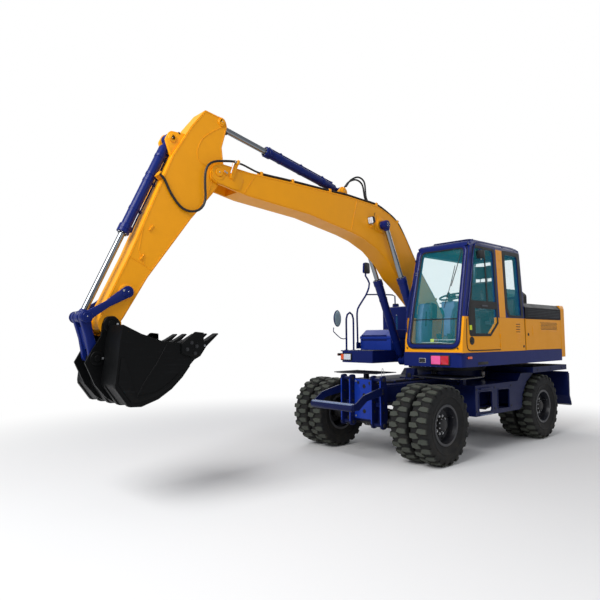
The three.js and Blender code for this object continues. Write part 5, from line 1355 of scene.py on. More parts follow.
def buildCabShell():
    softened("cab_shell", "cabPaint", 0.012, 3)
    maker = Maker("cab_frame")
    screen = rounded([(358, 1580, 80), (1142, 1580, 80), (1110, 2985, 80), (374, 2985, 80)], 6)
    fine = []
    for a, b in zip(screen, screen[1:] + screen[:1]):
        steps = max(1, round((Vector(b) - Vector(a)).length / 120))
        fine += [tuple(Vector(a).lerp(Vector(b), k / steps)) for k in range(steps)]
    frameBar(maker, inset(fine, -26), onFront, 27, 2, "navy", 0.75)
    frameBar(maker, inset(fine, 5), onFront, 12, -6, "seal", 0.8)
    frameBar(maker, inset(fine, -58), onFront, 6, 1, "seal", 0.5)
    split = [onFront(x, 1945, -14) for x in (366, 560, 760, 950, 1134)]
    maker.tube(split, 7, "seal", 8, 2)
    roof = oblong(420, -1020, 1070, 60, 60, 5)
    maker.prism("z", roof, 3126, 3142, "navy", 6, 3)
    for x in (560, 744, 930):
        maker.prism("z", oblong(x - 46, -980, x + 46, 20, 30), 3138, 3147, "navy", 4)
    visor = [[Vector((x, y, z)) for x in (330, 420, 744, 1070, 1160)] for y,
        z in ((-1190, 3084), (-1226, 3066), (-1252, 3034), (-1258, 3008))]
    maker.plate(visor, 10, "navy")
    corners = [(1188, -1225, 3040, 1, -0.4), (1180, -1140, 3092, 1, 0), (1196, -300, 3064, 1, 0),
        (1180, 240, 3060, 1, 0.3), (330, -1240, 3040, -0.4, -1), (300, -1290, 2860, -1, -0.6)]
    maker.addMesh(studs([((x, y, z), (dx, dy, 0.5)) for x, y, z, dx, dy in corners], 11, 16), "navy")
    # yellow centre post with its screws, and the black surround of the quarter window
    fineRows = [[onSide(y, z, 3) for y in (-503, -320)] for z in (1978, 2100, 2300, 2500, 2700, 2900, 3015)]
    maker.plate(fineRows, 3, "yellow")
    maker.addMesh(studs([(onSide(-420, z, 4), (1, 0, 0)) for z in (2960, 2860, 2720)], 9, 8), "yellow")
    outer = rounded([(-308, 2120, 20), (-216, 1984, 50), (262, 1984, 40), (246, 3026, 50), (-308, 3026, 40)],
        5)
    inner = rounded([(-246, 2130, 20), (-180, 2011, 40), (194, 2011, 40), (169, 2969, 60), (-246, 2969, 50)],
        5)
    ringPanel(maker, outer, inner, onSide, -2, 5, "seal")
    frameBar(maker, inner, onSide, 7, 2, "seal")
    frameBar(maker, rounded([(-1340, 1980, 60), (180, 1980, 60), (160, 2960, 60), (-1110, 2960, 80)], 5),
        lambda y, z, out: Vector((270 - out, y, z)), 12, 2, "seal")
    frameBar(maker, rounded([(380, 2330, 50), (1118, 2330, 50), (1098, 2960, 50), (390, 2960, 50)], 5),
        lambda x, z, out: Vector((x, 298 + out, z)), 12, 2, "seal")
    # louvre, lock and the seam by the engine bay
    slot = meshOf(lambda m: m.prism("x", oblong(-72, 0, 72, 9, 4, 2), 0, 5, "yellow", 2))
    gap = meshOf(lambda m: m.block((0, -66, -11), (1.5, 66, -1), "seal", 0.5))
    for mesh, finishName in ((slot, "yellow"), (gap, "seal")):
        rows = repeated(mesh, 8, step=(0, 0, -40), finishName=finishName)
        maker.addMesh(rows, finishName, Matrix.Translation(onSide(72, 1888, 0)))
    maker.turned(capLine(20, 5, 7, 15), onSide(240, 1532), (1, 0, 0), "plastic", 24)
    maker.block((1236, 298, 1470), (1240, 303, 1976), "seal", 0.5)
    # corner bolts, the pillar's latch and the drip rail over the door
    for x, z in ((1178, 1925), (1170, 1530), (312, 1925), (322, 1530)):
        maker.rod(onFront(x, z, 0), onFront(x, z, 9), 12, "plastic", 16, 3)
    for z in (2636, 2668):
        maker.rod(onFront(322, z, 14), onFront(356, z, 18), 9, "steel", 12, 3)
    rail = [onSide(y, z, 7) for y, z in ((-1425, 1990), (-1330, 2300), (-1240, 2620), (-1150, 2930),
        (-1090, 3050), (-960, 3078), (-700, 3082), (-380, 3080), (-60, 3076), (180, 3060))]
    maker.tube(rail, 8, "navy", 8, 4)
    seam = [onSide(y, z, 3) for y, z in ((-1438, 1940), (-1452, 1760), (-1456, 1600), (-1438, 1530),
        (-1390, 1500), (-1300, 1492), (-900, 1492), (-516, 1492))]
    maker.tube(seam, 5, "seal", 8, 4)
    for z in (1560, 1700):
        maker.rod(onSide(-508, z - 30, 5), onSide(-508, z + 30, 5), 6, "yellow", 12, 2)
    for y, z in ((-1500, 1640), (-1470, 1850), (-1440, 2060), (-1390, 2280)):
        maker.rod(Vector((272, y + 26, z)), Vector((262, y + 26, z)), 9, "zinc", 10, 2)
    # grab handle on the front pillar, wiper and the lamp on the roof's edge
    maker.tube([onFront(300, 1760, 30), onFront(288, 1960, 46), onFront(292, 2300, 46),
        onFront(300, 2470, 24)], 10, "navy", 10, 5)
    maker.tube([onFront(1080, 2960, 14), onFront(1040, 2700, 20), onFront(980, 2420, 18)], 6, "plastic", 8, 4)
    maker.tube([onFront(1000, 2720, 12), onFront(960, 2420, 12), onFront(900, 2110, 12)], 5, "seal", 8, 4)
    maker.done("house", place=slewFrame)
    lamp = Maker("cab_lamp")
    workLamp(lamp, shiftBy(1232, -1010, 2890) @ Matrix.Rotation(math.radians(8), 4, "X"), 1.15, "plastic")
    lamp.tube([(1206, -1000, 2960), (1222, -1005, 2965), (1232, -1008, 2950)], 9, "navy", 8, 3)
    lamp.done("house", place=slewFrame)


def buildCabDoor():
    softened("cab_door", "cabPaint", 0.007, 2)
    maker = Maker("cab_door_trim")
    glass = rounded([(-1335, 1730, 40), (-800, 1730, 40), (-590, 1900, 40), (-590, 2985, 50),
        (-1135, 2985, 70), (-1340, 1960, 0)], 5)
    outer = rounded([(-1376, 1696, 60), (-790, 1696, 40), (-548, 1886, 40), (-548, 3020, 50),
        (-1160, 3020, 70), (-1392, 1960, 0)], 5)
    ringPanel(maker, outer, glass, onSide, -2, 4, "seal")
    frameBar(maker, glass, onSide, 7, 2, "seal")
    rows = [[onSide(y, z, 1) for y in (-1352, -1000, -588)] for z in (2096, 2208)]
    maker.plate(rows, 8, "seal")
    maker.plate([[onSide(y, z, 6) for y in (-1010, -850)] for z in (2128, 2150)], 2, "trim")
    maker.plate([[onSide(y, z, -3) for y in (-842, -816)] for z in (2205, 2600, 2990)], 10, "seal")
    maker.plate([[onSide(y, z, 1) for y in (-1344, -1206)] for z in (1722, 1860, 2000, 2100)], 6, "seal")
    maker.plate([[onSide(y, z, 6) for y in (-1372, -1312)] for z in (1786, 1852)], 2, "yellowSticker")
    maker.turned([(0, 0), (0, 57), (6, 57), (12, 50), (12, 34), (8, 30), (8, 0)], onSide(-1320, 1634, 0),
        (1, 0, 0), "plastic", 40)
    maker.prism("x", oblong(-1350, 1622, -1290, 1646, 10, 3), 1243, 1256, "plastic", 3)
    maker.tube([onSide(-1270, 1860, -62), onSide(-1276, 1940, -96), onSide(-1240, 2060, -96),
        onSide(-1200, 2120, -62)], 11, "plastic", 10, 5)
    coil = []
    for i in range(121):
        t = i / 120
        a = 2 * math.pi * 10 * t
        coil.append(Vector((1168 + 16 * math.cos(a), -1180 + 60 * t + 16 * math.sin(a), 1760 + 260 * t)))
    maker.tube(coil, 4.5, "trim", 8, 1)
    maker.done("cab_door", place=slewFrame)


def buildCabInside():
    seat = cabPlan["seat"]
    softened("seat_frame", "trim", 0.01, 2)
    maker = Maker("cab_controls")
    # console on the boom's side, with a slot and a dark box behind it
    console = rounded([(-1390, 1530, 10), (-1120, 1530, 10), (-1060, 2120, 30), (-1120, 2190, 30),
        (-1290, 2200, 40), (-1370, 1900, 60)], 4)
    maker.prism("x", console, 332, 432, "console", 14, 3)
    maker.prism("x", rounded([(-1276, 1850, 12), (-1246, 1850, 12), (-1226, 2080, 12), (-1256, 2080, 12)], 3),
        430, 435, "seal", 1)
    maker.prism("x", rounded([(-1150, 1950, 30), (-1010, 1950, 30), (-990, 2190, 40), (-1150, 2230, 40)], 4),
        340, 470, "plastic", 12, 3)
    maker.prism("y", oblong(346, 2070, 462, 2180, 10, 3), -1156, -1150, "glass", 2)
    # floor mat, plates and the pedals
    maker.prism("z", oblong(330, -1470, 1180, -720, 40), 1516, 1524, "trim", 3)
    for x0, x1, y0, y1, z in ((480, 840, -1450, -1330, 1600), (820, 1100, -1440, -1340, 1590),
            (560, 1010, -1330, -1250, 1640)):
        maker.block((x0, y0, z), (x1, y1, z + 12), "plate", 4)
        maker.rod(((x0 + x1) / 2, (y0 + y1) / 2, 1520), ((x0 + x1) / 2, (y0 + y1) / 2, z), 14, "plastic", 12)
    maker.block((640, -1452, 1612), (700, -1448, 1660), "yellowSticker", 1)
    for x in (652, 836):
        maker.prism("x", rounded([(-1190, 1560, 10), (-1174, 1560, 10), (-1250, 1740, 12), (-1268, 1736, 12)],
            3), x - 38, x + 38, "plastic", 5)
        maker.tube([(x, -1190, 1700), (x, -1150, 1860), (x, -1120, 2030)], 8, "plastic", 8, 4)
    # steering column with its flared head, the wheel and its knob
    for y0, y1, z0, z1, half in ((-1212, -1072, 1520, 1700, 64), (-1180, -1050, 1700, 1990, 56)):
        maker.prism("x", rounded([(y0, z0, 20), (y1, z0, 20), (y1 + 20, z1, 20), (y0 + 20, z1, 20)], 3),
            seat - half, seat + half, "trim" if z0 < 1600 else "console", 12, 3)
    head = rounded([(-58, 1960, 20), (58, 1960, 20), (66, 2070, 30), (108, 2130, 20), (112, 2224, 24),
        (-112, 2224, 24), (-108, 2130, 20), (-66, 2070, 30)], 4)
    maker.prism("y", [(seat + a, b) for a, b in head], -1140, -985, "console", 12, 3)
    maker.rod((seat, -1056, 2210), (seat, -1004, 2296), 24, "plastic", 16)
    tilt = shiftBy(seat, -1000, 2300) @ Matrix.Rotation(math.radians(18), 4, "X")
    rim = [Vector((190 * math.cos(2 * math.pi * i / 48), 190 * math.sin(2 * math.pi * i / 48), 0))
        for i in range(48)]
    maker.tube(rim, 14, "plastic", 12, steps=1, closed=True, place=tilt)
    maker.turned([(-22, 0), (-22, 46), (10, 52), (20, 40), (20, 0)], (0, 0, 0), (0, 0, 1), "plastic", 28,
        place=tilt)
    for a in (20, 160, 270):
        run = Vector((math.cos(math.radians(a)), math.sin(math.radians(a)), 0))
        maker.tube([run * 30, run * 110 - Vector((0, 0, 8)), run * 188], 9, "plastic", 8, 4, place=tilt)
    knob = Vector((120, -140, 12))
    maker.rod(knob, knob + Vector((0, 0, 34)), 8, "plastic", 10, place=tilt)
    maker.turned([(30, 0), (30, 16), (42, 26), (58, 26), (70, 16), (74, 0)], knob, (0, 0, 1), "plastic", 20,
        place=tilt)
    for s in (-1, 1):
        maker.tube([(seat + s * 100, -1010, 2180), (seat + s * 190, -1000, 2200),
            (seat + s * 230, -990, 2215)], 7, "plastic", 8, 4)
    # joystick bellows on both pods, and the roof lining with its dark shape at the front corner
    for s in (-1, 1):
        foot = Vector((seat + s * 290, -628, 2196))
        wave = [(0, 40), (10, 44), (20, 34), (30, 40), (40, 28), (50, 33), (60, 20), (64, 16), (64, 0)]
        maker.turned([(0, 0)] + wave, foot, (0, -0.12, 1), "seal", 20)
        maker.turned([(130, 0), (130, 17), (150, 23), (185, 25), (205, 16), (210, 0)], foot, (0, -0.12, 1),
            "plastic", 20)
        maker.prism("x", rounded([(-560, 2204, 20), (-200, 2200, 20), (-200, 2240, 20), (-540, 2246, 20)], 3),
            *sorted((seat + s * 250, seat + s * 330)), "plastic", 8, 3)
    lining = [[Vector((x, y, z)) for x in (330, 740, 1160)] for y,
        z in ((-1190, 2990), (-1000, 3052), (-400, 3066), (200, 3056))]
    maker.plate(lining, 12, "seal")
    visor = rounded([(900, 3040, 20), (1150, 3040, 20), (1160, 2860, 40), (1080, 2850, 30), (1040, 2910, 30),
        (960, 2920, 30), (900, 2990, 20)], 4)
    maker.prism("y", visor, -1210, -1090, "seal", 8)
    maker.prism("y", oblong(390, 2030, 1110, 2290, 20, 3), 180, 235, "trim", 8)
    maker.done("house", ("steering_column",), place=slewFrame)


seatPlan = {"fill": 0.75, "voxel": 0.006, "pressure": 4, "frames": 20, "most": 0.012, "cushionHalf": 226,
    "backHalf": 205, "headHalf": 130}


def paddedForm(name, build):
    # a fabric form that is puffed by air pressure, with how far each point swells capped
    maker = Maker(name)
    build(maker)
    piece = maker.done("house", place=slewFrame)
    remesh = piece.modifiers.new("voxels", "REMESH")
    remesh.mode = "VOXEL"
    remesh.voxel_size = seatPlan["voxel"]
    rest = bakeModifiers(piece)
    piece.data = rest
    start = [v.co.copy() for v in rest.vertices]
    cloth = piece.modifiers.new("cloth", "CLOTH")
    cloth.settings.use_pressure = True
    cloth.settings.uniform_pressure_force = seatPlan["pressure"]
    cloth.settings.effector_weights.gravity = 0
    cloth.settings.quality = 4
    cloth.point_cache.frame_end = seatPlan["frames"]
    for step in range(1, seatPlan["frames"] + 1):
        bpy.context.scene.frame_set(step)
    puffed = bakeModifiers(piece)
    for vert, origin in zip(puffed.vertices, start):
        move = vert.co - origin
        if move.length > seatPlan["most"]:
            vert.co = origin + move.normalized() * seatPlan["most"]
    piece.data = puffed
    piece.modifiers.new("smooth", "SUBSURF").levels = 1
    piece.modifiers["smooth"].render_levels = 1
    piece.data = bakeModifiers(piece)
    piece.data.materials.clear()
    piece.data.materials.append(look["fabric"])
    piece.data.shade_smooth()
    return piece


def buildSeat():
    seat = cabPlan["seat"]

    def cushion(maker):
        side = rounded([(-632, 1998, 30), (-156, 1968, 30), (-156, 2074, 34), (-628, 2094, 44)], 4)
        maker.prism("x", side, seat - seatPlan["cushionHalf"], seat + seatPlan["cushionHalf"], "fabric", 22,
            3)

    def back(maker):
        side = rounded([(-196, 2096, 30), (-92, 2096, 30), (-22, 2560, 40), (-66, 2590, 30),
            (-118, 2560, 30)], 4)
        maker.prism("x", side, seat - seatPlan["backHalf"], seat + seatPlan["backHalf"], "fabric", 22, 3)

    def head(maker):
        side = rounded([(-112, 2634, 20), (-26, 2634, 20), (-22, 2846, 34), (-94, 2850, 30)], 4)
        maker.prism("x", side, seat - seatPlan["headHalf"], seat + seatPlan["headHalf"], "fabric", 24, 3)
    pads = [paddedForm(name, build) for name, build in (("seat_cushion", cushion), ("seat_back", back),
        ("seat_head", head))]
    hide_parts("driver_seat")
    posts = Maker("seat_posts")
    for x in (seat - 60, seat + 60):
        posts.rod((x, -60, 2560), (x, -64, 2660), 7, "steel", 10)
    posts.prism("x", rounded([(-150, 2040, 20), (-100, 2040, 20), (-10, 2560, 20), (-40, 2600, 20)], 3),
        seat - 190, seat + 190, "plastic", 10)
    posts.done("house", place=slewFrame)


# engine bay, counterweight and decks
housePlan = {"half": 1242, "tail": 2250, "rearLampX": 900, "bandLines": 5}


def buildHouse():
    softened("upper_frame", "navy", 0.01, 3)
    softened("engine_hood", "hoodPaint", 0.014, 3)
    softened("counterweight", "yellow", 0.03, 4)
    softened("engine_bonnet", "band", 0.02, 3)
    softened("fuel_tank", "navy", 0.014, 3)
    # the tool box and its lid take the lit copy of the navy: painted highlight
    softened("tool_box", "paintedHighlightNavy", 0.01, 2)
    softened("tool_box_lid", "paintedHighlightNavy", 0.012, 3)
    maker = Maker("house_details")
    for side in (-1, 1):
        face = side * housePlan["half"]
        lines = meshOf(lambda m: m.block((0, -610, 0), (1.6, 610, 4), "trim", 0.5))
        maker.addMesh(repeated(lines, housePlan["bandLines"], step=(0, 0, -26), finishName="trim"), "trim",
            shiftBy(face if side > 0 else face - 1.6, 1010, 2120))
    for x0, x1, y in ((-1236, -560, -1388), (300, 1236, -1588)):
        maker.block((x0, y - 4, 1452), (x1, y + 20, 1470), "navy", 3)
    # front lamps, the blank plate and the side marker

    def lampBlock(x0, x1, y, z0, z1, cells):
        frameLine = oblong(x0, z0, x1, z1, 14)
        maker.prism("y", frameLine, y - 16, y + 4, "plastic", 4)
        for a, b, finishName in cells:
            cell = oblong(a, z0 + 14, b, z1 - 12, 8, 3)
            maker.prism("y", cell, y - 24, y - 12, finishName, 4)
    lampBlock(738, 1052, -1590, 1288, 1434, ((754, 906, "pink"), (912, 1036, "red")))
    lampBlock(-1225, -975, -1390, 1300, 1420, ((-1213, -1150, "orange"), (-1144, -990, "white")))
    plateLine = oblong(534, 1318, 648, 1384, 6, 3)
    maker.prism("y", plateLine, -1594, -1588, "plate", 2)
    maker.prism("y", inset(plateLine, 5), -1597, -1592, "satin", 1)
    maker.addMesh(studs([((x, -1595, 1351), (0, -1, 0)) for x in (544, 638)], 4, 4), "zinc")
    for side in (-1, 1):
        marker = oblong(-1460, 1376, -1350, 1420, 10)
        maker.prism("x", marker, *sorted((side * 1240, side * 1250)), "plastic", 3)
        maker.prism("x", [(y * 0.93 - 98, z * 0.7 + 419) for y, z in marker],
            *sorted((side * 1246, side * 1258)), "orange", 3)
        maker.block((min(side * 1236, side * 1246), -1180, 1290), (max(side * 1236, side * 1246), -900, 1330),
            "seal", 2)
    # a deck plate with a raised tread beside the boom, and the steps up to the tool box
    maker.prism("z", rounded([(-1150, -1370, 30), (-545, -1370, 30), (-545, -910, 20), (-1150, -910, 20)], 3),
        1464, 1470, "satin", 1)
    stud = meshOf(lambda m: m.turned([(0, 0), (0, 9), (4, 7), (4, 0)], (0, 0, 0), (0, 0, 1), "satin", 8))
    for row in range(9):
        maker.addMesh(repeated(stud, 13, step=(45, 0, 0), finishName="satin"), "satin",
            shiftBy(-1125 + (22 if row % 2 else 0), -1345 + row * 50, 1469))
    for z in (1720, 1790):
        maker.block((-1180, -903, z - 90), (-620, -897, z - 60), "navy", 2)
    # tank: cap, level glass, strap lines and the hinge of the tool box lid
    maker.turned([(0, 0), (0, 66), (8, 66), (8, 58), (58, 56), (64, 48), (64, 0)], (-1050, -80, 2252),
        (0, 0, 1), "plastic", 32)
    maker.prism("y", oblong(-900, 1560, -870, 2080, 10, 3), -272, -262, "glass", 2)
    maker.addMesh(studs([((-885, -272, z), (0, -1, 0)) for z in (1550, 2090)], 8, 8), "zinc")
    for x in (-1120, -640):
        maker.rod((x - 50, -264, 1834), (x + 50, -264, 1834), 9, "iron", 12, 2)
    maker.rod((-1219, -150, 2120), (-1219, -20, 2120), 30, "navy", 28, 8)
    maker.rod((-1219, -20, 2120), (-1219, 20, 2120), 22, "plastic", 24, 6)
    # counterweight: lifting eyes, rear lamps and a bare plate
    for side in (-1, 1):
        maker.turned([(0, 0), (0, 38), (18, 36), (26, 26), (26, 0)], (side * 620, 1960, 2224), (0, 0, 1),
            "yellow", 24)
        lampX = side * housePlan["rearLampX"]
        y = math.sqrt(housePlan["tail"] ** 2 - lampX ** 2) - 2
        turn = shiftBy(lampX, y, 1560) @ Matrix.Rotation(-math.asin(lampX / housePlan["tail"]), 4, "Z")
        outline = oblong(-120, -34, 120, 34, 14)
        maker.prism("y", outline, -18, 8, "plastic", 3, place=turn)
        for a, b, finishName in ((-108, -36, "orange"), (-30, 40, "red"), (46, 108, "white")):
            maker.prism("y", oblong(a, -24, b, 24, 8, 3), 4, 15, finishName, 3, place=turn)
    maker.block((-240, 2246, 1700), (240, 2254, 1810), "plate", 3)
    maker.done("house", place=slewFrame)
    buildBayDoors()
    buildBonnet()
    buildRails()


grillePlan = {"rows": 6, "columns": 15, "stepY": 43, "stepZ": -22}


def buildBayDoors():
    for name, side in (("left", 1), ("right", -1)):
        softened(f"{name}_engine_door", "yellow", 0.006, 2)
        maker = Maker(f"{name}_engine_door_details")
        face = side * housePlan["half"]
        hole = meshOf(lambda m: m.prism("x", [(15 * math.cos(a * math.pi / 8),
            6.5 * math.sin(a * math.pi / 8)) for a in range(16)], 0, 1.2, "seal", 0))
        for row in range(grillePlan["rows"]):
            shift = grillePlan["stepY"] / 2 if row % 2 else 0
            line = repeated(hole, grillePlan["columns"], step=(0, grillePlan["stepY"], 0), finishName="seal")
            maker.addMesh(line, "seal", shiftBy(face if side > 0 else face - 1.2, 868 + shift,
                1916 + row * grillePlan['stepZ']))
        edge = oblong(838, 1778, 1512, 1934, 14, 3)
        frameBar(maker, edge, lambda y, z, out: Vector((face + side * out, y, z)), 4, 0, "yellow", 0.7)
        maker.turned(capLine(24, 5, 8, 18), (face, 398, 1722), (side, 0, 0), "plastic", 24)
        maker.prism("x", oblong(560, 1700, 600, 1860, 12, 3), *sorted((face, face + side * 4)), "yellow", 2)
        maker.done(f"{name}_engine_door", place=slewFrame)


def buildBonnet():
    maker = Maker("engine_bonnet_ribs")
    rib = meshOf(lambda m: m.prism("y", rounded([(-108, 2480, 20), (708, 2480, 20), (640, 2536, 30),
        (-40, 2536, 30)], 4), 0, 22, "band", 4))
    maker.addMesh(repeated(rib, 5, step=(0, 118, 0), finishName="band"), "band", shiftBy(0, 790, 0))
    slat = meshOf(lambda m: m.block((0, -240, 0), (7, 240, 8), "satin", 2))
    maker.addMesh(repeated(slat, 5, step=(0, 0, -26), finishName="satin"), "satin", shiftBy(757, 1060, 2400))
    maker.tube([(260, 694, 2300), (300, 676, 2306), (340, 694, 2300)], 7, "zinc", 8, 5)
    maker.done("engine_bonnet", place=slewFrame)


def buildRails():
    softened("tall_rail", "navy", 0.002, 1, angle=60)
    rail = softened("front_rail", "navy", 0.002, 1, angle=60)
    form = bmesh.new()
    form.from_mesh(rail.data)
    middle = at(-1176, -1542, 2014)
    bmesh.ops.delete(form, geom=[v for v in form.verts if (v.co - middle).length < 0.1445], context="VERTS")
    form.to_mesh(rail.data)
    form.free()
    maker = Maker("rail_mirrors")
    mirrorTurn = (0.95, 0.33, 0)
    maker.turned([(-26, 0), (-22, 60), (-8, 120), (6, 140), (14, 143), (18, 138), (18, 0)],
        (-1176, -1542, 2014), mirrorTurn, "navy", 40)
    maker.turned([(18, 0), (18, 128), (19.5, 128), (23, 60), (24, 0)], (-1176, -1542, 2014), mirrorTurn,
        "mirror", 40)
    face = rounded([(-768, 2868, 28), (-608, 2868, 28), (-618, 3052, 36), (-752, 3052, 36)], 4)
    maker.prism("x", face, -1224, -1214, "plastic", 3)
    maker.prism("x", inset(face, 12), -1259, -1255, "mirror", 1)
    for z in (1500, 1560):
        maker.rod((-1246, -952, z + 20), (-1226, -952, z + 20), 24, "navy", 16, 3)
    for y in (-1285, -1285):
        maker.turned(capLine(40, 8, 12, 24), (-1196, y, 1466), (0, 0, 1), "navy", 24)
    maker.turned(capLine(40, 8, 12, 24), (-1102, -1200, 1466), (0, 0, 1), "navy", 24)
    maker.done("house", place=slewFrame)


look["hoodPaint"] = finish("hoodPaint", yellow, 0.4, drift=0.08, dust=0.0, specular=0.1,
    twoTone=(1.976, rgb(11, 13, 18)))
buildCabShell()
buildCabDoor()
buildCabInside()
buildSeat()
print("cab made")
buildHouse()
print("house made")

# chassis, axles, slew ring and dozer blade
chassisBody = ownerOf["chassis_frame"]
look["stepTread"] = finish("stepTread", rgb(118, 134, 168), 0.38, metallic=0.2, drift=0.3, grainScale=12.0,
    dust=0.1, dustTop=1.2, scratch=0.3, scratchColor=rgb(60, 70, 110))
look["guard"] = finish("guardBlack", rgb(12, 15, 28), 0.7, drift=0.2, dust=0.0, specular=0.08)


chassisPlan = {"plates": (-372, -205, 205, 372), "plateHalf": 13, "pinY": -2235, "pinHeights": (1090, 457),
    "spareHoles": (640, 770, 900), "ringBolts": 40, "ringBoltCircle": 600, "frontHoses": (60, 96, 132),
    "boxWindows": ((-1030, -650), (-480, -120)), "boxSide": 1150}


def buildChassis():
    softened("chassis_frame", "chassis", 0.01, 3)
    softened("front_mount", "chassis", 0.005, 2)
    softened("slew_ring", "iron", 0.004, 2)
    for side in ("left", "right"):
        box = softened(f"{side}_side_box", "chassis", 0.006, 2)
        # the flat guards over the wheels are a matt black
        box.data.materials.append(look["guard"])
        for polygon in box.data.polygons:
            if polygon.center.z > 1.1 and polygon.normal.z > 0.5:
                polygon.material_index = 1
    maker = Maker("chassis_details")
    # mounting plates: bosses round the pins, keepers, spare holes, and front edges in the lit navy as painted
    # highlight
    for x in chassisPlan["plates"]:
        for face, side in ((x + chassisPlan["plateHalf"], 1), (x - chassisPlan["plateHalf"], -1)):
            for z in chassisPlan["pinHeights"]:
                ring = [(0, 27), (0, 50), (5, 50), (7, 46), (7, 27)]
                maker.turned([*ring, ring[0]], (face, chassisPlan["pinY"], z), (side, 0, 0), "chassis", 28)
            for z in chassisPlan["spareHoles"]:
                maker.turned([(-1, 0), (-1, 17), (2, 20), (3, 13), (1, 12), (1, 0)], (face, -2238, z),
                    (side, 0, 0), "seal", 18)
        edge = oblong(x - 10, 470, x + 10, 1080, 3, 2)
        maker.prism("y", edge, -2293.5, -2288, "paintedHighlightNavy", 2)
    for side in (-1, 1):
        for z in chassisPlan["pinHeights"]:
            for x in (side * 188, side * 388):
                maker.turned(capLine(30, 6, 10, 24), (x, chassisPlan["pinY"], z),
                    (1 if x * side > 200 else -1, 0, 0), "iron", 24)
    # painted highlight: the centre plate's front face in the lit copy of the navy
    centre = oblong(-188, 512, 188, 1080, 20)
    maker.prism("y", centre, -2202, -2198, "paintedHighlightNavy", 2)
    for z in (980, 850, 620):
        maker.turned([(0, 0), (0, 26), (3, 30), (5, 24), (1, 22), (1, 0)], (0, -2202, z), (0, -1, 0), "seal",
            24)
    for x in (-110, 110):
        maker.prism("y", oblong(x - 16, 1010, x + 16, 1050, 8, 3), -2216, -2200, "iron", 3)
    maker.addMesh(studs([((x, -2202, z), (0, -1, 0)) for x in (-160, 160) for z in (545, 1048)], 11, 10),
        "zinc")
    # step bar: a flat tread on the round bar, with raised bumps
    tread = oblong(-380, -2897, 380, -2823, 14)
    maker.prism("z", tread, 790, 808, "stepTread", 4)
    bump = meshOf(lambda m: m.turned([(0, 0), (0, 8), (3, 6), (4, 0)], (0, 0, 0), (0, 0, 1), "stepTread", 10))
    for row in range(3):
        maker.addMesh(repeated(bump, 17 - row % 2, step=(44, 0, 0), finishName="stepTread"), "stepTread",
            shiftBy(-352 + 22 * (row % 2), -2884 + row * 24, 808))
    maker.prism("x", [(-2860 + 47 * math.cos(a), 752 + 47 * math.sin(a))
        for a in [math.pi + i * math.pi / 12 for i in range(13)]], -384, 384, "chassis", 3)
    for side in (-1, 1):
        arm = rounded([(-2884, 724, 26), (-2770, 724, 30), (-2602, 832, 60), (-2262, 886, 0), (-2262, 966, 0),
            (-2330, 980, 40), (-2660, 904, 60), (-2828, 806, 40), (-2884, 800, 26)], 5)
        weldBead(maker, [(side * 404, y, z) for y, z in arm] + [(side * 404, *arm[0])], "chassis", 4)
        maker.addMesh(studs([((side * 404, y, z), (side, 0, 0)) for y, z in ((-2276, 905), (-2276, 950))], 12,
            10), "iron")
    loop = smoothPath([(330, -2200, 1130), (336, -2206, 1210), (352, -2206, 1250), (372, -2206, 1210),
        (372, -2200, 1140)], 6)
    maker.tube(loop, 4, "zinc", 8, 1)
    # seams, lock bracket with its slot, and the ring's bolts
    maker.prism("y", rounded([(-150, 1040, 16), (-70, 1040, 16), (-84, 1110, 16), (-136, 1110, 16)], 4), -978,
        -968, "seal", 1)
    for x in (-196, -24):
        weldBead(maker, [(x, -972, 1014), (x, -820, 1014)], "chassis", 5)
    bolts = []
    circle = chassisPlan["ringBoltCircle"]
    for i in range(chassisPlan["ringBolts"]):
        a = 2 * math.pi * (i + 0.5) / chassisPlan["ringBolts"]
        bolts.append(((circle * math.cos(a), circle * math.sin(a), 1198), (0, 0, 1)))
    maker.addMesh(studs(bolts, 13, 22), "zinc")
    for side in (-1, 1):
        for y in (-2140, -1700, -1240):
            maker.turned(capLine(22, 5, 8, 16), (side * 330, y, 900), (side, 0, 0), "iron", 20)
        weldBead(maker, [(side * 332, -2140, 985), (side * 332, -1130, 985)], "chassis", 5)
        # box windows: folded edges, a step, latches and bolts
        for y0, y1 in chassisPlan["boxWindows"]:
            edge = rounded([(y0, 600, 40), (y1, 590, 40), (y1, 890, 40), (y0, 900, 40)], 5)
            frameBar(maker, edge, lambda y, z, out: Vector((side * (chassisPlan["boxSide"] + out), y, z)), 9,
                1, "chassis", 0.7)
        for y in (-1085, -565, -60):
            maker.addMesh(studs([((side * 1150, y, z), (side, 0, 0)) for z in (620, 930)], 12, 9), "iron")
        maker.block((min(side * 1146, side * 1190), -1000, 556), (max(side * 1146, side * 1190), -680, 566),
            "stepTread", 3)
        maker.tube([(side * 1150, -990, 930), (side * 1178, -980, 936), (side * 1178, -700, 936),
            (side * 1150, -690, 930)], 9, "chassis", 10, 4)
        # guards' folded lips
        lip = [(side * 1202, -1020, 1108), (side * 1202, -1540, 1108), (side * 1170, -1578, 1108),
            (side * 1000, -1638, 1108), (side * 340, -1500, 1108)]
        maker.tube([Vector(p) for p in lip], 8, "satin", 8, 3)
        maker.addMesh(studs([((side * x, y, 1117), (0, 0, 1)) for x,
            y in ((1120, -1090), (960, -1090), (700, -1090), (420, -1120))], 12, 8), "iron")
        for y in (700, 1200, 1650):
            maker.addMesh(studs([((side * 1236, y, 1140), (side, 0, 0))], 11, 8), "iron")
    # hoses from the ring to the front, held by clips on the frame's top
    for x in chassisPlan["frontHoses"]:
        pipeRun(maker, [(x, -560, 1140), (x, -600, 1060), (x, -680, 1026), (x + 4, -900, 1024),
            (x + 10, -1300, 1024), (x + 20, -1700, 1024), (x + 26, -2060, 1024), (x + 28, -2140, 1012)], 11,
            "hose", (3, 4, 5), "chassis")
    maker.done(chassisBody, place=slewFrame)
    print("chassis made")


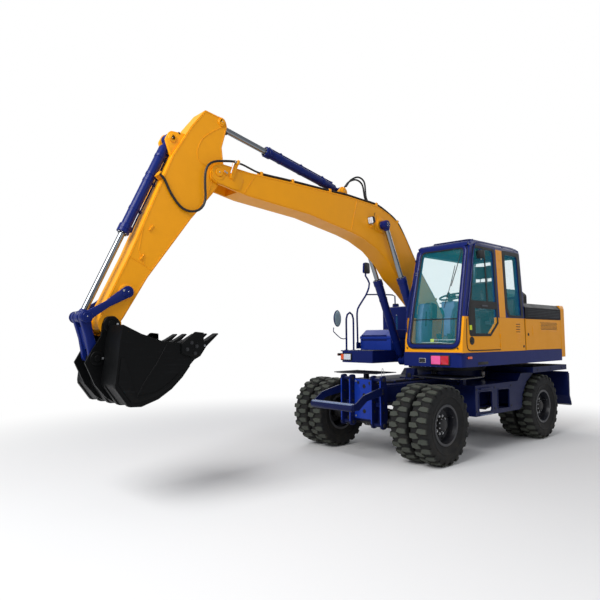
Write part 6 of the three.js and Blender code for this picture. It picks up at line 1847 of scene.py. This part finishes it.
def buildAxles():
    for name in ("front_axle", "rear_axle", "left_knuckle", "right_knuckle", "steering_rod"):
        softened(name, "iron", 0.008 if name != "steering_rod" else 0.004, 2)
    softened("engine", "iron", 0.02, 3)
    maker = Maker("axle_details")
    for y, side in ((-1957, -1), (921, 1)):
        radius = 118
        maker.turned([(0, 0), (0, radius), (14, radius), (40, radius * 0.82), (62, radius * 0.5), (70, 0)],
            (0, y + side * 128, 527), (0, side, 0), "iron", 40)
        ring = []
        for i in range(12):
            a = 2 * math.pi * i / 12
            ring.append(((radius * 0.9 * math.cos(a), y + side * 141, 527 + radius * 0.9 * math.sin(a)),
                (0, side, 0)))
        maker.addMesh(studs(ring, 10, 10), "zinc")
        for s in (-1, 1):
            maker.turned([(0, 82), (0, 128), (20, 128), (26, 120), (26, 82), (0, 82)], (s * 200, y, 527.5),
                (s, 0, 0), "iron", 32)
            bolts = []
            for i in range(10):
                a = 2 * math.pi * i / 10
                bolts.append(((s * 226, y + 106 * math.cos(a), 527.5 + 106 * math.sin(a)), (s, 0, 0)))
            maker.addMesh(studs(bolts, 9, 9), "zinc")
            maker.tube([(s * 60, y + 60, 660), (s * 200, y + 70, 640), (s * 340, y + 40, 622),
                (s * 430, y + 20, 618)], 8, "hose", 8, 5)
    maker.turned(capLine(26, 10, 14, 20), (110, 700, 660), (0, 0, 1), "zinc", 16)
    maker.addMesh(studs([((x, 496, z), (0, -1, 0)) for x in (-140, 140) for z in (440, 620)], 13, 12), "zinc")
    for side in (-1, 1):
        for up in (-1, 1):
            z = 527.5 + up * 152
            maker.turned(capLine(60, 8, 12, 52), (side * 590, -1957, z), (0, 0, up), "iron", 28)
            spots = [((side * 590 + 42 * math.cos(a), -1957 + 42 * math.sin(a), z + up * 12),
                (0, 0, up)) for a in [math.pi / 4 + i * math.pi / 2 for i in range(4)]]
            maker.addMesh(studs(spots, 8, 8), "zinc")
    maker.done(ownerOf["front_axle"], place=slewFrame)
    print("axles made")


bladePlan = {"half": 1240, "bolts": 14, "boltStep": 180}


def buildBlade():
    softened("dozer_blade", "chassis", 0.006, 2)
    maker = Maker("blade_details")
    maker.prism("x", [(1970, 452), (2003, 466), (1972, 540), (1958, 534)], -bladePlan["half"],
        bladePlan["half"], "steel", 2)
    spots = []
    for i in range(bladePlan["bolts"]):
        x = -1170 + i * bladePlan["boltStep"]
        spots.append(((x, 1990, 502), (0, 0.9, 0.42)))
    maker.addMesh(studs(spots, 13, 8), "iron")
    maker.prism("x", oblong(1872, 1036, 1910, 1060, 8, 3), -1243, 1243, "chassis", 3)
    for side in (-1, 1):
        maker.prism("x", [(1868, 900), (1905, 1030), (1932, 1030), (1925, 640), (1998, 480), (1972, 462),
            (1882, 640)], *sorted((side * 1236, side * 1248)), "chassis", 3)
        weldBead(maker, [(side * 240, 1884, 560), (side * 240, 1866, 880)], "chassis", 5)
        weldBead(maker, [(side * 212, 1884, 560), (side * 212, 1866, 880)], "chassis", 5)
        x = side * 254
        maker.turned(capLine(50, 10, 14, 42), (x, 1230, 530), (side, 0, 0), "iron", 28)
        maker.addMesh(studs([((x + side * 14, 1230 + dy, 530), (side, 0, 0)) for dy in (-26, 26)], 9, 8),
            "zinc")
    maker.done(ownerOf["dozer_blade"], place=slewFrame)
    print("blade made")


buildChassis()
buildAxles()
buildBlade()

# window glass
for name in ("windscreen", "door_glass", "quarter_glass", "right_glass", "rear_glass"):
    pane = nodes[name]
    pane.data.materials.clear()
    pane.data.materials.append(look["glass"])


# floor
def floorFinish():
    material = bpy.data.materials.new("paleFloor")
    material.use_nodes = True
    tree = material.node_tree
    shader = tree.nodes["Principled BSDF"]
    grain = use(tree, grainGroup, Scale=0.6, Fine_Scale=60.0)
    tone = mixColor(tree, scaled(tree, grain.outputs["Mask"], 0.05), (0.78, 0.78, 0.78, 1),
        (0.72, 0.73, 0.74, 1))
    tree.links.new(tone, shader.inputs["Base Color"])
    shader.inputs["Roughness"].default_value = 0.9
    # the floor turns to the backdrop's white away from the machine
    place = put(tree, "ShaderNodeTexCoord").outputs["Object"]
    away = put(tree, "ShaderNodeVectorMath", {"operation": "LENGTH"}, Vector=place).outputs["Value"]
    fade = put(tree, "ShaderNodeMapRange", {"interpolation_type": "SMOOTHSTEP"}, Value=away, From_Min=3.4,
        From_Max=8.5)
    white = tree.nodes.new("ShaderNodeEmission")
    white.inputs["Strength"].default_value = 1.0
    mix = tree.nodes.new("ShaderNodeMixShader")
    seen = put(tree, "ShaderNodeLightPath").outputs["Is Camera Ray"]
    part = put(tree, "ShaderNodeMath", {"operation": "MULTIPLY"})
    tree.links.new(fade.outputs[0], part.inputs[0])
    tree.links.new(seen, part.inputs[1])
    tree.links.new(part.outputs[0], mix.inputs["Fac"])
    tree.links.new(shader.outputs[0], mix.inputs[1])
    tree.links.new(white.outputs[0], mix.inputs[2])
    tree.links.new(mix.outputs[0], tree.nodes["Material Output"].inputs["Surface"])
    return material


floor = bpy.data.objects.new("floor", bpy.data.meshes.new("floor"))
floor.data.from_pydata([(-90, -90, 0), (90, -90, 0), (90, 90, 0), (-90, 90, 0)], [], [(0, 1, 2, 3)])
floor.data.materials.append(floorFinish())
bpy.context.collection.objects.link(floor)
print("scene done")
